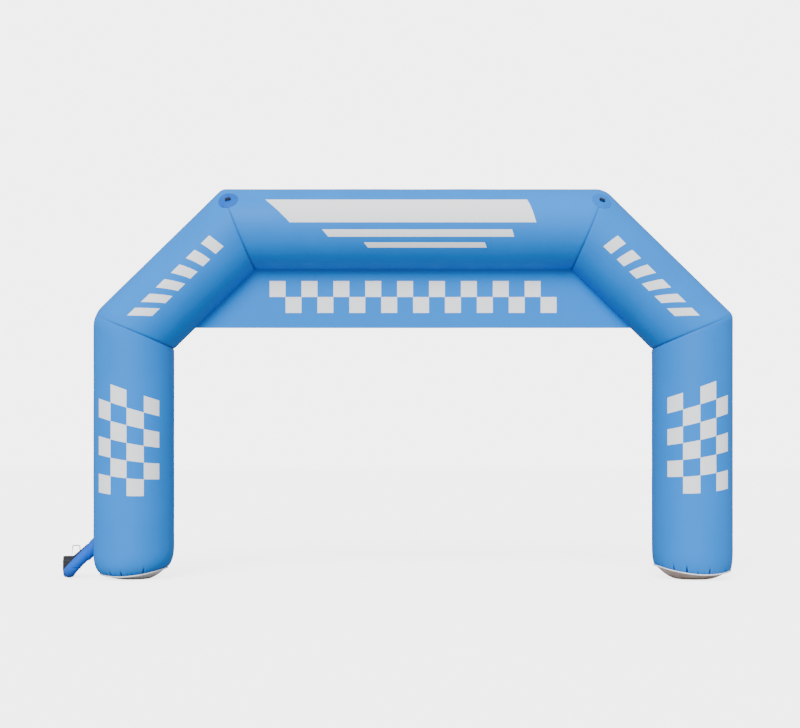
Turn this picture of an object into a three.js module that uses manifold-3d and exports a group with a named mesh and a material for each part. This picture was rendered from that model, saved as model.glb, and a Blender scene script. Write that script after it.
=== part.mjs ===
// An air-filled race arch: five tubes of coated cloth sewn together at mitred corners, standing
// on two base panels, with a banner stretched under the beam, a tether ring at each top corner,
// and an air sleeve that runs from the left leg to a small blower on the ground.
// Millimetres, +Z up, +X to the right, -Y to the front. The origin is on the ground, at the
// middle of the whole part's box. The blower stands out at the left, so the arch's own middle
// plane lies ARCH_X to the right of the origin.
import * as THREE from 'three';
import { mergeVertices } from 'three/addons/utils/BufferGeometryUtils.js';
import Module from 'manifold-3d';

const wasm = await Module();
wasm.setup();

// ---------------------------------------------------------------- driving dimensions

const GAP = 0.3; // between pieces that touch
const ARCH_X = 247;
const TUBE_RADIUS = 500;
const LEG_X = 3500; // from the middle of the arch to a leg's axis
const LOWER_CORNER_Z = 3092; // where a leg's axis meets the slope's
const BEAM_CORNER_X = 2185; // where the slope's axis meets the beam's
const BEAM_Z = 4375;
const TUBE_SPOKES = 40; // long faces round a slope or the beam

const SIDES = { left: -1, right: 1 };

// A corner is rounded on its outer side, by an arc of its own radius, and drawn in to a crease
// on its inner side.
const LOWER_ROUND = { left: 360, right: 130 };
const UPPER_ROUND = { left: 125, right: 270 };
const CREASE_DEPTH = 9;
const CREASE_LENGTH = 32;
const CORNER_ROWS = [0, 12, 32, 54, 80, 110, 150]; // distances from the seam

// The foot of a leg is drawn in to a gathered hem, which rises towards the gateway by its slope
// and dips at the front and the back. height is that of the hem's middle.
const FEET = {
  left: { height: 110, radius: 409, slope: 0.087, dip: 0.118 },
  right: { height: 149, radius: 466, slope: 0.06, dip: 0.131 },
};
// draw is the share of the way in to the hem, at a distance from it.
const FOOT_ROWS = [
  { from: 0, draw: 1 },
  { from: 14, draw: 0.79 },
  { from: 36, draw: 0.57 },
  { from: 72, draw: 0.35 },
  { from: 118, draw: 0.17 },
  { from: 180, draw: 0.05 },
  { from: 260, draw: 0 },
];
// Gathers of the hem. turn is in degrees from the leg's outer side; depth is how far a gather
// sinks in at the hem, and rise is how far up the leg it runs.
const GATHERS = [
  { turn: 12, depth: 10, rise: 85 },
  { turn: 34, depth: 9, rise: 65 },
  { turn: 61, depth: 18, rise: 110 },
  { turn: 80, depth: 19, rise: 105 },
  { turn: 97, depth: 8, rise: 60 },
  { turn: 115, depth: 20, rise: 120 },
  { turn: 135, depth: 10, rise: 70 },
  { turn: 158, depth: 11, rise: 80 },
  { turn: 183, depth: 13, rise: 100 },
  { turn: 208, depth: 10, rise: 80 },
  { turn: 231, depth: 17, rise: 110 },
  { turn: 251, depth: 21, rise: 125 },
  { turn: 267, depth: 9, rise: 70 },
  { turn: 285, depth: 20, rise: 120 },
  { turn: 317, depth: 12, rise: 90 },
  { turn: 341, depth: 13, rise: 90 },
];
const GATHER_HALF_TURN = 2.4;
const WIDEST_FACE_TURN = 10.5;
const BILLOW = 5; // the cloth swells between two gathers
const BILLOW_RISE = 120;

// The base panel under each leg: a shallow bowl with a flat floor. share is a row's part of the
// hem's radius, rise its part of the hem's height, and lean its part of the hem's lean.
const BASE_ROWS = [
  { share: 0, rise: 0, lean: 0 },
  { share: 0.45, rise: 0, lean: 0 },
  { share: 0.58, rise: 0.17, lean: 0.17 },
  { share: 0.72, rise: 0.42, lean: 0.42 },
  { share: 0.86, rise: 0.7, lean: 0.7 },
  { share: 1, rise: 1, lean: 1 },
  { share: 0, rise: 1, lean: 0 },
];
const WELT_RADIUS = 6; // piping in the seam between leg and base
const WELT_OUT = 5.4; // its middle lies this far outside the hem
const WELT_DROP = 4.1; // and this far below it
const WELT_SIDES = 5;

const BANNER_BOTTOM_Z = 3140;
const BANNER_THICKNESS = 2;

// Tether point at each top corner: a round patch, a folded webbing tab and a D-ring.
// PATCH_OUTWARD is the cosine of its place round the seam, 1 at the corner's outer side.
const PATCH_OUTWARD = { left: 0.6, right: 0.625 };
const PATCH_RADIUS = 125;
const PATCH_ACROSS = { left: 30, right: -10 }; // from the seam towards the beam
const PATCH_THICKNESS = 2.5;
const PATCH_SPOKES = 32;
const PATCH_RINGS = [0, 16, 32, 48, 64, 84, 104, PATCH_RADIUS];
const CLOTH_GAP = 0.9; // keeps a curved patch clear of the tube's flat faces
const TAB_WIDTH = 62;
const TAB_LENGTH = 34;
const TAB_DOWN = 6; // from the patch's middle down to the ring's bar
const WEBBING = 2.5;
const RING_WIRE = 6;
const RING_WIDTH = 78;
const RING_DEPTH = 26;
const RING_TILT = -8; // degrees, so that it lies against the patch
const TAB_EYE_RADIUS = 4.7;
const TAB_SAMPLES = 10; // steps across and along the skin under the tab
const HALVINGS = 40; // steps in the search for the skin's height

// Air sleeve: a soft duct from the left leg down to the blower.
const SLEEVE_RADIUS = 72;
const SLEEVE_SIDES = 20;
const SLEEVE_LAID_RADIUS = 75.5; // where it lies on the ground
const SLEEVE_TIED_RADIUS = 64; // where it is strapped over the blower's nozzle
const SLEEVE_Z = 76;
const SLEEVE_PATH = [
  [-3850, 0, 549],
  [-4000, 0, 402],
  [-4130, -4, 274],
  [-4232, -10, 172],
  [-4296, 12, 104],
  [-4330.2, 74.1, SLEEVE_Z],
  [-4342, 119.4, SLEEVE_Z], // straight from here, over the nozzle
  [-4360.8, 192.2, SLEEVE_Z],
];
// share is the distance along the sleeve. It flares where it is sewn into the leg.
const SLEEVE_ROWS = [
  { share: 0, radius: SLEEVE_RADIUS + 14 },
  { share: 0.22, radius: SLEEVE_RADIUS + 12 },
  { share: 0.27, radius: SLEEVE_RADIUS + 4 },
  { share: 0.33, radius: SLEEVE_RADIUS },
  { share: 0.45, radius: SLEEVE_RADIUS },
  { share: 0.56, radius: SLEEVE_RADIUS - 1 },
  { share: 0.62, radius: SLEEVE_RADIUS - 1 },
  { share: 0.67, radius: SLEEVE_RADIUS },
  { share: 0.72, radius: SLEEVE_RADIUS + 1 },
  { share: 0.77, radius: SLEEVE_RADIUS + 2 },
  { share: 0.83, radius: SLEEVE_LAID_RADIUS },
  { share: 0.88, radius: SLEEVE_LAID_RADIUS - 3 },
  { share: 0.915, radius: SLEEVE_TIED_RADIUS },
  { share: 0.97, radius: SLEEVE_TIED_RADIUS },
  { share: 1, radius: SLEEVE_TIED_RADIUS + 3 },
];
// A dark closure flap stands up along the sleeve's upper side.
const FLAP_SIDE = 16; // the edge of the sleeve, of SLEEVE_SIDES, that it is sewn along
const FLAP_THICKNESS = 3;
const FLAP_ROWS = [
  { share: 0.3, rise: 16 },
  { share: 0.38, rise: 21 },
  { share: 0.46, rise: 27 },
  { share: 0.54, rise: 33 },
  { share: 0.62, rise: 37 },
  { share: 0.66, rise: 37 },
];
const STRAP_WIDTH = 25;
const STRAP_THICKNESS = 2.5;
const STRAP_BACK = 47; // from the sleeve's end to the middle of the strap

// Blower: a snail-shell fan housing on a stand. Its own frame has +Y from the nozzle into the
// housing, and its origin on the ground under the nozzle's root.
const NOZZLE_RADIUS = 60;
const NOZZLE_LENGTH = 62;
const NOZZLE_Z = SLEEVE_Z;
const HOUSING_WIDTH = 136;
const HOUSING_BEVEL = 8;
const HOUSING_MIDDLE = new THREE.Vector2(152, 138); // of the fan, in Y and Z
const HOUSING_RADIUS = 124;
const HOUSING_FLOOR = 14;
const MOUTH_TOP = 160;
const INTAKE_RADIUS = 68;
const INTAKE_DEPTH = 26;
const GUARD_THICKNESS = 4;
const GUARD_RIM = 8;
const GUARD_BAR = 5;
const GUARD_RINGS = [50, 30]; // radii of the guard's inner rings
const GUARD_HUB_RADIUS = 12;
const GUARD_SPOKES = 3; // bars that run right across
const MOTOR_RADIUS = 44;
const MOTOR_LENGTH = 84;
const FAN_SIDES = 28;
const STAND_WIDTH = 110;
const STAND_FLOOR = 8;
const STAND_FRONT = 12;
const STAND_EDGE = 8; // left behind the shell where the cradle ends
const STAND_TIP_TURN = -Math.PI / 5; // from the horizontal, round the fan
const FOOT_PAD_RADIUS = 12;
const FOOT_PAD_PLACES = { front: 28, back: 236 };
const SMALL_SIDES = 12;
// A bent handle: one leg stands on the shell, and the longer one on the motor.
const HANDLE_LEFT = 44;
const HANDLE_RIGHT = 146;
const HANDLE_TOP = 398;
const HANDLE_CORNER = 24;
const HANDLE_THICKNESS = 11;
const HANDLE_DEPTH = 16;
const GLAND_RADIUS = 9;
const GLAND_LENGTH = 20;

// ---------------------------------------------------------------- materials

const CLOTH = { color: 0x4fb4f2, roughness: 0.55, metalness: 0 };
const BANNER_CLOTH = { color: 0x4db3f0, roughness: 0.75, metalness: 0 };
const BASE_CLOTH = { color: 0xd9d2cc, roughness: 0.7, metalness: 0 };
const WELT_CLOTH = { color: 0xeef3f8, roughness: 0.6, metalness: 0 };
const PATCH_CLOTH = { color: 0x3f97dc, roughness: 0.6, metalness: 0 };
const DARK_WEBBING = { color: 0x141c3c, roughness: 0.8, metalness: 0 };
const STEEL = { color: 0x23262d, roughness: 0.45, metalness: 1 };
const BLACK_PLASTIC = { color: 0x17181c, roughness: 0.5, metalness: 0 };
const RUBBER = { color: 0x101010, roughness: 0.9, metalness: 0 };
const GUARD_WIRE = { color: 0x3a3d42, roughness: 0.4, metalness: 1 };
const HANDLE_GREY = { color: 0xb9bcc0, roughness: 0.5, metalness: 0 };

const arch = new THREE.Group();
arch.position.x = ARCH_X;

/** Adds a named mesh with its own material to a group. */
function addPart(group, name, geometry, look) {
  const mesh = new THREE.Mesh(geometry, new THREE.MeshStandardMaterial(look));
  mesh.name = name;
  group.add(mesh);
  return mesh;
}

// ---------------------------------------------------------------- joining and cutting

/** A closed geometry as a manifold-3d solid. */
function toSolid(geometry) {
  const bare = geometry.clone();
  bare.deleteAttribute('normal');
  bare.deleteAttribute('uv');
  const merged = mergeVertices(bare, 1e-3);
  return new wasm.Manifold(new wasm.Mesh({
    numProp: 3,
    vertProperties: new Float32Array(merged.attributes.position.array),
    triVerts: new Uint32Array(merged.index.array),
  }));
}

/** A manifold-3d solid as a geometry. */
function toGeometry(solid) {
  const mesh = solid.getMesh();
  const geometry = new THREE.BufferGeometry();
  geometry.setAttribute('position', new THREE.BufferAttribute(mesh.vertProperties, 3));
  geometry.setIndex(new THREE.BufferAttribute(mesh.triVerts, 1));
  return geometry;
}

// ---------------------------------------------------------------- tubes of cloth

/** How far a tube's skin lies inside TUBE_RADIUS, near the seam of a mitred corner. */
function cornerInset({ bend, round }, fromSeam, outward) {
  const reach = round * Math.tan(bend / 2);
  const depth = round * (1 / Math.cos(bend / 2) - 1);
  const rounding = Math.max(0, outward) * Math.max(0, 1 - fromSeam / reach) ** 2;
  const crease = (1 - outward) / 2 * Math.max(0, 1 - fromSeam / CREASE_LENGTH) ** 2;
  return depth * rounding + CREASE_DEPTH * crease;
}

/** Spokes at even turns, the first on the tube's outer side. */
function evenSpokes(count) {
  return Array.from({ length: count }, (_, i) => ({ turn: i * 2 * Math.PI / count }));
}

/** Spokes of a gathered foot: three at each gather, and enough between to keep the leg round. */
function gatheredSpokes() {
  const spokes = [];
  GATHERS.forEach((gather, i) => {
    const next = GATHERS[(i + 1) % GATHERS.length].turn + (i + 1 < GATHERS.length ? 0 : 360);
    const first = gather.turn + GATHER_HALF_TURN;
    const last = next - GATHER_HALF_TURN;
    const faces = Math.ceil((last - first) / WIDEST_FACE_TURN);
    spokes.push({ turn: gather.turn, gather });
    for (let k = 0; k <= faces; k++) {
      const share = k / faces;
      spokes.push({ turn: first + (last - first) * share, swell: Math.sin(Math.PI * share) });
    }
  });
  return spokes.map((spoke) => ({ ...spoke, turn: THREE.MathUtils.degToRad(spoke.turn) }));
}

/** Sets a point of a geometry round +Y, at a radius and a turn from +Z. */
function setRound(geometry, index, radius, turn, along) {
  geometry.attributes.position.setXYZ(index, radius * Math.sin(turn), along, radius * Math.cos(turn));
}

/**
 * A closed tube along its own +Y, with +Z on its outer side. Each end runs straight out from
 * the axis's end, leaning back by its leanAt(turn), and each ring of an end lies at one
 * distance from it. radiusAt gives a ring's radius at a spoke.
 */
function clothTube(length, spokes, start, end) {
  const centre = { from: 0, radiusAt: () => 0 };
  const stations = [];
  const addStations = (rings, base, way, leanAt) => {
    for (const ring of rings) stations.push({ ...ring, base, way, leanAt });
  };
  addStations([centre, ...start.rings], 0, 1, start.leanAt);
  addStations([...end.rings.toReversed(), centre], length, -1, end.leanAt);
  const geometry = new THREE.LatheGeometry(stations.map(() => new THREE.Vector2()), spokes.length);
  for (let i = 0; i <= spokes.length; i++) {
    const spoke = spokes[i % spokes.length];
    stations.forEach(({ from, radiusAt, base, way, leanAt }, j) => {
      const radius = radiusAt(spoke);
      const along = base + way * (from + GAP / 2 - radius * leanAt(spoke.turn));
      const index = i * stations.length + j;
      setRound(geometry, index, radius, spoke.turn, along);
    });
  }
  return geometry;
}

/** The rings and the lean of a mitred end. */
function mitredEnd(corner) {
  const rings = CORNER_ROWS.map((from) => ({
    from,
    radiusAt: (spoke) => TUBE_RADIUS - cornerInset(corner, from, Math.cos(spoke.turn)),
  }));
  return { leanAt: (turn) => Math.tan(corner.bend / 2) * Math.cos(turn), rings };
}

/** How far a hem falls below its middle at a turn, for each millimetre of its radius. */
const hemLean = ({ slope, dip }) => (turn) => slope * Math.cos(turn) + dip * Math.sin(turn) ** 2;

/** The rings and the lean of a gathered foot. extra widens it. */
function gatheredEnd(foot, extra) {
  const fade = (from, rise) => Math.max(0, 1 - from / rise) ** 2;
  const rings = FOOT_ROWS.map(({ from, draw }) => ({
    from,
    radiusAt({ gather, swell = 0 }) {
      const sink = gather ? gather.depth * fade(from, gather.rise) : 0;
      const billow = from > 0 ? BILLOW * swell * fade(from, BILLOW_RISE) : 0;
      return TUBE_RADIUS - draw * (TUBE_RADIUS - foot.radius) + extra - sink + billow;
    },
  }));
  return { leanAt: hemLean(foot), rings };
}

/** Places a tube: its axis starts at a point of the XZ plane and runs along, outer side out. */
function placeTube(mesh, startX, startZ, along, outward) {
  const side = new THREE.Vector3().crossVectors(along, outward);
  mesh.quaternion.setFromRotationMatrix(new THREE.Matrix4().makeBasis(side, along, outward));
  mesh.position.set(startX, 0, startZ);
}

const slopeRun = LEG_X - BEAM_CORNER_X;
const slopeRise = BEAM_Z - LOWER_CORNER_Z;
const slopeLength = Math.hypot(slopeRun, slopeRise);
const slopeAngle = Math.atan2(slopeRise, slopeRun); // above the horizontal
const UP = new THREE.Vector3(0, 0, 1);

/** A corner: the angle by which the tubes turn there, and the radius of its rounding. */
const lowerCorner = (place) => ({ bend: Math.PI / 2 - slopeAngle, round: LOWER_ROUND[place] });
const upperCorner = (place) => ({ bend: slopeAngle, round: UPPER_ROUND[place] });

/** Unit vectors along a slope, from its lower end, and out of its outer side. */
function slopeAxes(side) {
  const along = new THREE.Vector3(-side * Math.cos(slopeAngle), 0, Math.sin(slopeAngle));
  const outward = new THREE.Vector3(side * Math.sin(slopeAngle), 0, Math.cos(slopeAngle));
  return { along, outward };
}

/** A leg with its hem's middle at the origin. extra widens it, for a cutter. */
function legGeometry(place, extra = 0) {
  const ends = [gatheredEnd(FEET[place], extra), mitredEnd(lowerCorner(place))];
  return clothTube(LOWER_CORNER_Z - FEET[place].height, gatheredSpokes(), ...ends);
}

/** Stands a mesh on a leg's axis, at a height, with its outer side out. */
function standAtLeg(mesh, place, height) {
  placeTube(mesh, SIDES[place] * LEG_X, height, UP, new THREE.Vector3(SIDES[place], 0, 0));
}

function addLeg(place) {
  standAtLeg(addPart(arch, `leg_${place}`, legGeometry(place), CLOTH), place, FEET[place].height);
}

function addSlope(place) {
  const { along, outward } = slopeAxes(SIDES[place]);
  const ends = [mitredEnd(lowerCorner(place)), mitredEnd(upperCorner(place))];
  const geometry = clothTube(slopeLength, evenSpokes(TUBE_SPOKES), ...ends);
  const slope = addPart(arch, `slope_${place}`, geometry, CLOTH);
  placeTube(slope, SIDES[place] * LEG_X, LOWER_CORNER_Z, along, outward);
}

function addBeam() {
  const ends = [mitredEnd(upperCorner('left')), mitredEnd(upperCorner('right'))];
  const geometry = clothTube(2 * BEAM_CORNER_X, evenSpokes(TUBE_SPOKES), ...ends);
  const beam = addPart(arch, 'beam', geometry, CLOTH);
  placeTube(beam, -BEAM_CORNER_X, BEAM_Z, new THREE.Vector3(1, 0, 0), UP);
}

// ---------------------------------------------------------------- foot: base panel and welt

/** A lathe on a leg's spokes: rows of radius, height and share of the hem's lean. */
function footLathe(rows, foot) {
  const spokes = gatheredSpokes();
  const leanAt = hemLean(foot);
  const geometry = new THREE.LatheGeometry(rows.map(() => new THREE.Vector2()), spokes.length);
  for (let i = 0; i <= spokes.length; i++) {
    const { turn } = spokes[i % spokes.length];
    rows.forEach(({ radius, height, lean }, j) => {
      const leaning = height - lean * foot.radius * leanAt(turn);
      setRound(geometry, i * rows.length + j, radius, turn, leaning);
    });
  }
  return geometry;
}

function baseGeometry(foot) {
  const rows = BASE_ROWS.map(({ share, rise, lean }) => ({
    radius: share * foot.radius,
    height: rise * (foot.height - GAP / 2),
    lean,
  }));
  return footLathe(rows, foot);
}

/** The piping, whose section closes at its outermost point. */
function weltGeometry(foot) {
  const rows = Array.from({ length: WELT_SIDES + 1 }, (_, i) => {
    const turn = (i % WELT_SIDES) * 2 * Math.PI / WELT_SIDES;
    return {
      radius: foot.radius + WELT_OUT + WELT_RADIUS * Math.cos(turn),
      height: foot.height - WELT_DROP + WELT_RADIUS * Math.sin(turn),
      lean: 1,
    };
  });
  return footLathe(rows, foot);
}

function addFoot(place) {
  const foot = FEET[place];
  standAtLeg(addPart(arch, `base_${place}`, baseGeometry(foot), BASE_CLOTH), place, 0);
  standAtLeg(addPart(arch, `welt_${place}`, weltGeometry(foot), WELT_CLOTH), place, 0);
}

// ---------------------------------------------------------------- banner

/** A flat cloth whose top edge meets the beam's belly and whose ends meet the slopes' bellies. */
function addBanner() {
  const top = BEAM_Z - TUBE_RADIUS - GAP;
  const { outward } = slopeAxes(1);
  const bellyX = LEG_X - outward.x * (TUBE_RADIUS + GAP);
  const bellyZ = LOWER_CORNER_Z - outward.z * (TUBE_RADIUS + GAP);
  const endAt = (z) => bellyX - (z - bellyZ) * slopeRun / slopeRise;
  const outline = new THREE.Shape([
    new THREE.Vector2(-endAt(BANNER_BOTTOM_Z), BANNER_BOTTOM_Z),
    new THREE.Vector2(endAt(BANNER_BOTTOM_Z), BANNER_BOTTOM_Z),
    new THREE.Vector2(endAt(top), top),
    new THREE.Vector2(-endAt(top), top),
  ]);
  const geometry = new THREE.ExtrudeGeometry(outline, { depth: BANNER_THICKNESS, bevelEnabled: false });
  geometry.translate(0, 0, -BANNER_THICKNESS / 2);
  geometry.rotateX(Math.PI / 2);
  addPart(arch, 'banner', geometry, BANNER_CLOTH);
}

// ---------------------------------------------------------------- tether points

const cornerPoint = new THREE.Vector3(BEAM_CORNER_X, 0, BEAM_Z);

/** How far a point near an upper corner, drawn on the right, lies outside the tubes' skin. */
function skinClearance(point, corner) {
  const slope = slopeAxes(1);
  const local = point.clone().sub(cornerPoint);
  const clearances = [
    { away: new THREE.Vector3(-1, 0, 0), outward: UP },
    { away: slope.along.clone().negate(), outward: slope.outward },
  ].map(({ away, outward }) => {
    const out = local.dot(outward);
    const radius = Math.hypot(out, local.y);
    const fromSeam = local.dot(away) + out * Math.tan(corner.bend / 2);
    const inset = cornerInset(corner, Math.max(0, fromSeam), out / radius);
    return { fromSeam, clearance: radius - TUBE_RADIUS + inset };
  });
  return clearances.find(({ fromSeam }) => fromSeam >= 0)?.clearance ?? clearances[0].clearance;
}

/** The height above a frame's plane at which the skin lies, by halving. */
function skinHeight({ frame, corner }, across, down) {
  let low = -PATCH_RADIUS;
  let high = PATCH_RADIUS;
  for (let step = 0; step < HALVINGS; step++) {
    const middle = (low + high) / 2;
    const point = new THREE.Vector3(across, down, middle).applyMatrix4(frame);
    if (skinClearance(point, corner) > 0) high = middle;
    else low = middle;
  }
  return (low + high) / 2;
}

/** The place of a tether point, drawn on the right: +Z out of the skin, +Y down the seam. */
function tetherSpot(place) {
  const corner = upperCorner(place);
  const outwardShare = PATCH_OUTWARD[place];
  const forward = Math.sqrt(1 - outwardShare ** 2);
  const mitreOut = slopeAxes(1).outward.clone().add(UP).normalize();
  const mitreRadius = TUBE_RADIUS / Math.cos(corner.bend / 2);
  const front = new THREE.Vector3(0, -1, 0);
  const normal = mitreOut.clone().multiplyScalar(outwardShare / mitreRadius);
  normal.addScaledVector(front, forward / TUBE_RADIUS).normalize();
  const down = mitreOut.clone().multiplyScalar(-forward * mitreRadius);
  down.addScaledVector(front, outwardShare * TUBE_RADIUS).normalize();
  const across = new THREE.Vector3().crossVectors(down, normal);
  const frame = new THREE.Matrix4().makeBasis(across, down, normal);
  const origin = cornerPoint.clone().addScaledVector(mitreOut, outwardShare * mitreRadius);
  frame.setPosition(origin.addScaledVector(front, forward * TUBE_RADIUS));
  const heightAt = (x) => skinHeight({ frame, corner }, x, 0);
  const middle = PATCH_ACROSS[place];
  const height = heightAt(middle);
  const rise = heightAt(middle + TAB_WIDTH / 2) - heightAt(middle - TAB_WIDTH / 2);
  frame.multiply(new THREE.Matrix4().makeTranslation(middle, 0, height));
  frame.multiply(new THREE.Matrix4().makeRotationY(-Math.atan2(rise, TAB_WIDTH)));
  return { frame, corner };
}

/** A disc of cloth that lies on the skin round the tether point. */
function patchGeometry(spot) {
  const under = PATCH_RINGS.map((radius) => ({ radius, rise: CLOTH_GAP }));
  const over = under.toReversed().map(({ radius, rise }) => ({ radius, rise: rise + PATCH_THICKNESS }));
  const profile = [...under, ...over].map(({ radius, rise }) => new THREE.Vector2(radius, rise));
  const geometry = new THREE.LatheGeometry(profile, PATCH_SPOKES).rotateX(Math.PI / 2);
  const { position } = geometry.attributes;
  for (let i = 0; i < position.count; i++) {
    position.setZ(i, position.getZ(i) + skinHeight(spot, position.getX(i), position.getY(i)));
  }
  return geometry;
}

/** The skin's highest point under the tab. */
function tabSeat(spot) {
  const heights = [];
  for (let across = -TAB_WIDTH / 2; across <= TAB_WIDTH / 2; across += TAB_WIDTH / TAB_SAMPLES) {
    for (let up = -TAB_EYE_RADIUS - WEBBING; up <= TAB_LENGTH; up += TAB_LENGTH / TAB_SAMPLES) {
      heights.push(skinHeight(spot, across, TAB_DOWN - up));
    }
  }
  return Math.max(...heights);
}

/** Webbing folded round the ring's bar and sewn down: drawn in side view, then extruded. */
function tabGeometry(barRise) {
  const outer = TAB_EYE_RADIUS + WEBBING;
  const outline = new THREE.Shape();
  outline.moveTo(-TAB_LENGTH, 2 * WEBBING);
  outline.lineTo(-TAB_LENGTH, 0);
  outline.absarc(0, barRise, outer, -Math.PI / 2, 3 * Math.PI / 4, false);
  outline.quadraticCurveTo(-outer, 2 * WEBBING, -2 * outer, 2 * WEBBING);
  outline.closePath();
  outline.holes.push(new THREE.Path().absarc(0, barRise, TAB_EYE_RADIUS, 0, 2 * Math.PI, true));
  const settings = { depth: TAB_WIDTH, bevelEnabled: false, curveSegments: 6 };
  const geometry = new THREE.ExtrudeGeometry(outline, settings);
  geometry.translate(0, 0, -TAB_WIDTH / 2);
  geometry.rotateX(Math.PI / 2); // the side view's height becomes +Z
  geometry.rotateZ(Math.PI / 2); // and its length becomes +Y
  return geometry;
}

/** A D-shaped outline: a straight bar along X and a bow on its +Y side. */
function dOutline(Path, halfWidth, back, depth) {
  const outline = new Path();
  outline.moveTo(-halfWidth, back);
  outline.lineTo(halfWidth, back);
  outline.absellipse(0, back, halfWidth, depth - back, 0, Math.PI, false);
  outline.closePath();
  return outline;
}

function ringGeometry() {
  const half = RING_WIRE / 2;
  const outline = dOutline(THREE.Shape, RING_WIDTH / 2, -half, RING_DEPTH);
  outline.holes.push(dOutline(THREE.Path, RING_WIDTH / 2 - RING_WIRE, half, RING_DEPTH - RING_WIRE));
  const settings = { depth: RING_WIRE, bevelEnabled: false, curveSegments: 10 };
  return new THREE.ExtrudeGeometry(outline, settings).translate(0, 0, -half);
}

function addTether(place) {
  const spot = tetherSpot(place);
  const corner = new THREE.Group();
  const point = new THREE.Group();
  corner.scale.x = SIDES[place];
  point.applyMatrix4(spot.frame);
  arch.add(corner.add(point));
  const tabFloor = tabSeat(spot) + CLOTH_GAP + PATCH_THICKNESS + GAP;
  const barRise = TAB_EYE_RADIUS + WEBBING;
  addPart(point, `tether_patch_${place}`, patchGeometry(spot), PATCH_CLOTH);
  const tab = addPart(point, `tether_tab_${place}`, tabGeometry(barRise), DARK_WEBBING);
  tab.position.set(0, TAB_DOWN, tabFloor);
  const ring = addPart(point, `tether_ring_${place}`, ringGeometry(), STEEL);
  ring.position.set(0, TAB_DOWN, tabFloor + barRise);
  ring.rotation.x = THREE.MathUtils.degToRad(RING_TILT);
}

// ---------------------------------------------------------------- air sleeve

const sleevePath = new THREE.CatmullRomCurve3(SLEEVE_PATH.map((point) => new THREE.Vector3(...point)));

/** The curve's middle, and the directions of no turn and of a quarter turn, at each share. */
function framesAlong(curve, shares) {
  const quarter = new THREE.Vector3();
  let zero = new THREE.Vector3(0, 1, 0);
  return shares.map((share) => {
    const tangent = curve.getTangentAt(share);
    quarter.crossVectors(tangent, zero).normalize();
    zero = new THREE.Vector3().crossVectors(quarter, tangent).normalize();
    return { centre: curve.getPointAt(share), zero: zero.clone(), quarter: quarter.clone() };
  });
}

/** The point at a radius and turn round a frame's middle. */
function pointRound({ centre, zero, quarter }, radius, turn) {
  const point = centre.clone().addScaledVector(zero, radius * Math.cos(turn));
  return point.addScaledVector(quarter, radius * Math.sin(turn));
}

/** A closed tube whose rows of radius lie along a curve, each square to it. */
function tubeAlong(curve, rows, sides) {
  const stations = [{ share: 0, radius: 0 }, ...rows, { share: 1, radius: 0 }];
  const frames = framesAlong(curve, stations.map(({ share }) => share));
  const geometry = new THREE.LatheGeometry(stations.map(() => new THREE.Vector2()), sides);
  stations.forEach(({ radius }, j) => {
    for (let i = 0; i <= sides; i++) {
      const point = pointRound(frames[j], radius, (i % sides) * 2 * Math.PI / sides);
      geometry.attributes.position.setXYZ(i * stations.length + j, point.x, point.y, point.z);
    }
  });
  return geometry;
}

/** The sleeve's radius at a share of its length. */
function sleeveRadius(share) {
  const next = SLEEVE_ROWS.findIndex((row) => row.share >= share);
  const [low, high] = [SLEEVE_ROWS[Math.max(0, next - 1)], SLEEVE_ROWS[next]];
  const part = high.share > low.share ? (share - low.share) / (high.share - low.share) : 0;
  return THREE.MathUtils.lerp(low.radius, high.radius, part);
}

/** A strip that stands on edge along one side of the sleeve. */
function flapGeometry() {
  const steps = FLAP_ROWS.length - 1;
  const geometry = new THREE.BoxGeometry(1, 1, 1, 1, 1, steps);
  const frames = framesAlong(sleevePath, FLAP_ROWS.map(({ share }) => share));
  const turn = FLAP_SIDE * 2 * Math.PI / SLEEVE_SIDES;
  const { position } = geometry.attributes;
  for (let i = 0; i < position.count; i++) {
    const step = Math.round((position.getZ(i) + 0.5) * steps);
    const { share, rise } = FLAP_ROWS[step];
    const inner = sleeveRadius(share) + GAP;
    const radius = position.getY(i) > 0 ? inner + rise : inner;
    const point = pointRound(frames[step], radius, turn - position.getX(i) * FLAP_THICKNESS / radius);
    position.setXYZ(i, point.x, point.y, point.z);
  }
  return geometry;
}

/** The sleeve, cut back to the leg's skin and bored for the blower's nozzle. */
function addSleeve(blower) {
  const legCutter = new THREE.Mesh(legGeometry('left', GAP));
  standAtLeg(legCutter, 'left', FEET.left.height);
  legCutter.updateMatrix();
  const nozzleCutter = nozzleGeometry(NOZZLE_RADIUS + GAP, NOZZLE_LENGTH + 2 * GAP, GAP);
  nozzleCutter.applyMatrix4(blower.matrix);
  const sleeve = toSolid(tubeAlong(sleevePath, SLEEVE_ROWS, SLEEVE_SIDES))
    .subtract(toSolid(legCutter.geometry.applyMatrix4(legCutter.matrix)))
    .subtract(toSolid(nozzleCutter));
  addPart(arch, 'air_sleeve', toGeometry(sleeve), CLOTH);
  addPart(arch, 'sleeve_flap', flapGeometry(), DARK_WEBBING);
}

/** The strap round the sleeve, on the straight stretch over the nozzle. */
function addStrap(blower) {
  const inner = (SLEEVE_TIED_RADIUS + 2 * GAP) / Math.cos(Math.PI / SLEEVE_SIDES); // its flats clear
  const outer = inner + STRAP_THICKNESS;
  const section = [[inner, 0], [outer, 0], [outer, STRAP_WIDTH], [inner, STRAP_WIDTH], [inner, 0]]
    .map((point) => new THREE.Vector2(...point));
  const geometry = new THREE.LatheGeometry(section, SLEEVE_SIDES);
  const strap = addPart(blower, 'sleeve_strap', geometry, DARK_WEBBING);
  strap.position.set(0, -STRAP_BACK - STRAP_WIDTH / 2, NOZZLE_Z);
}

// ---------------------------------------------------------------- blower

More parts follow.
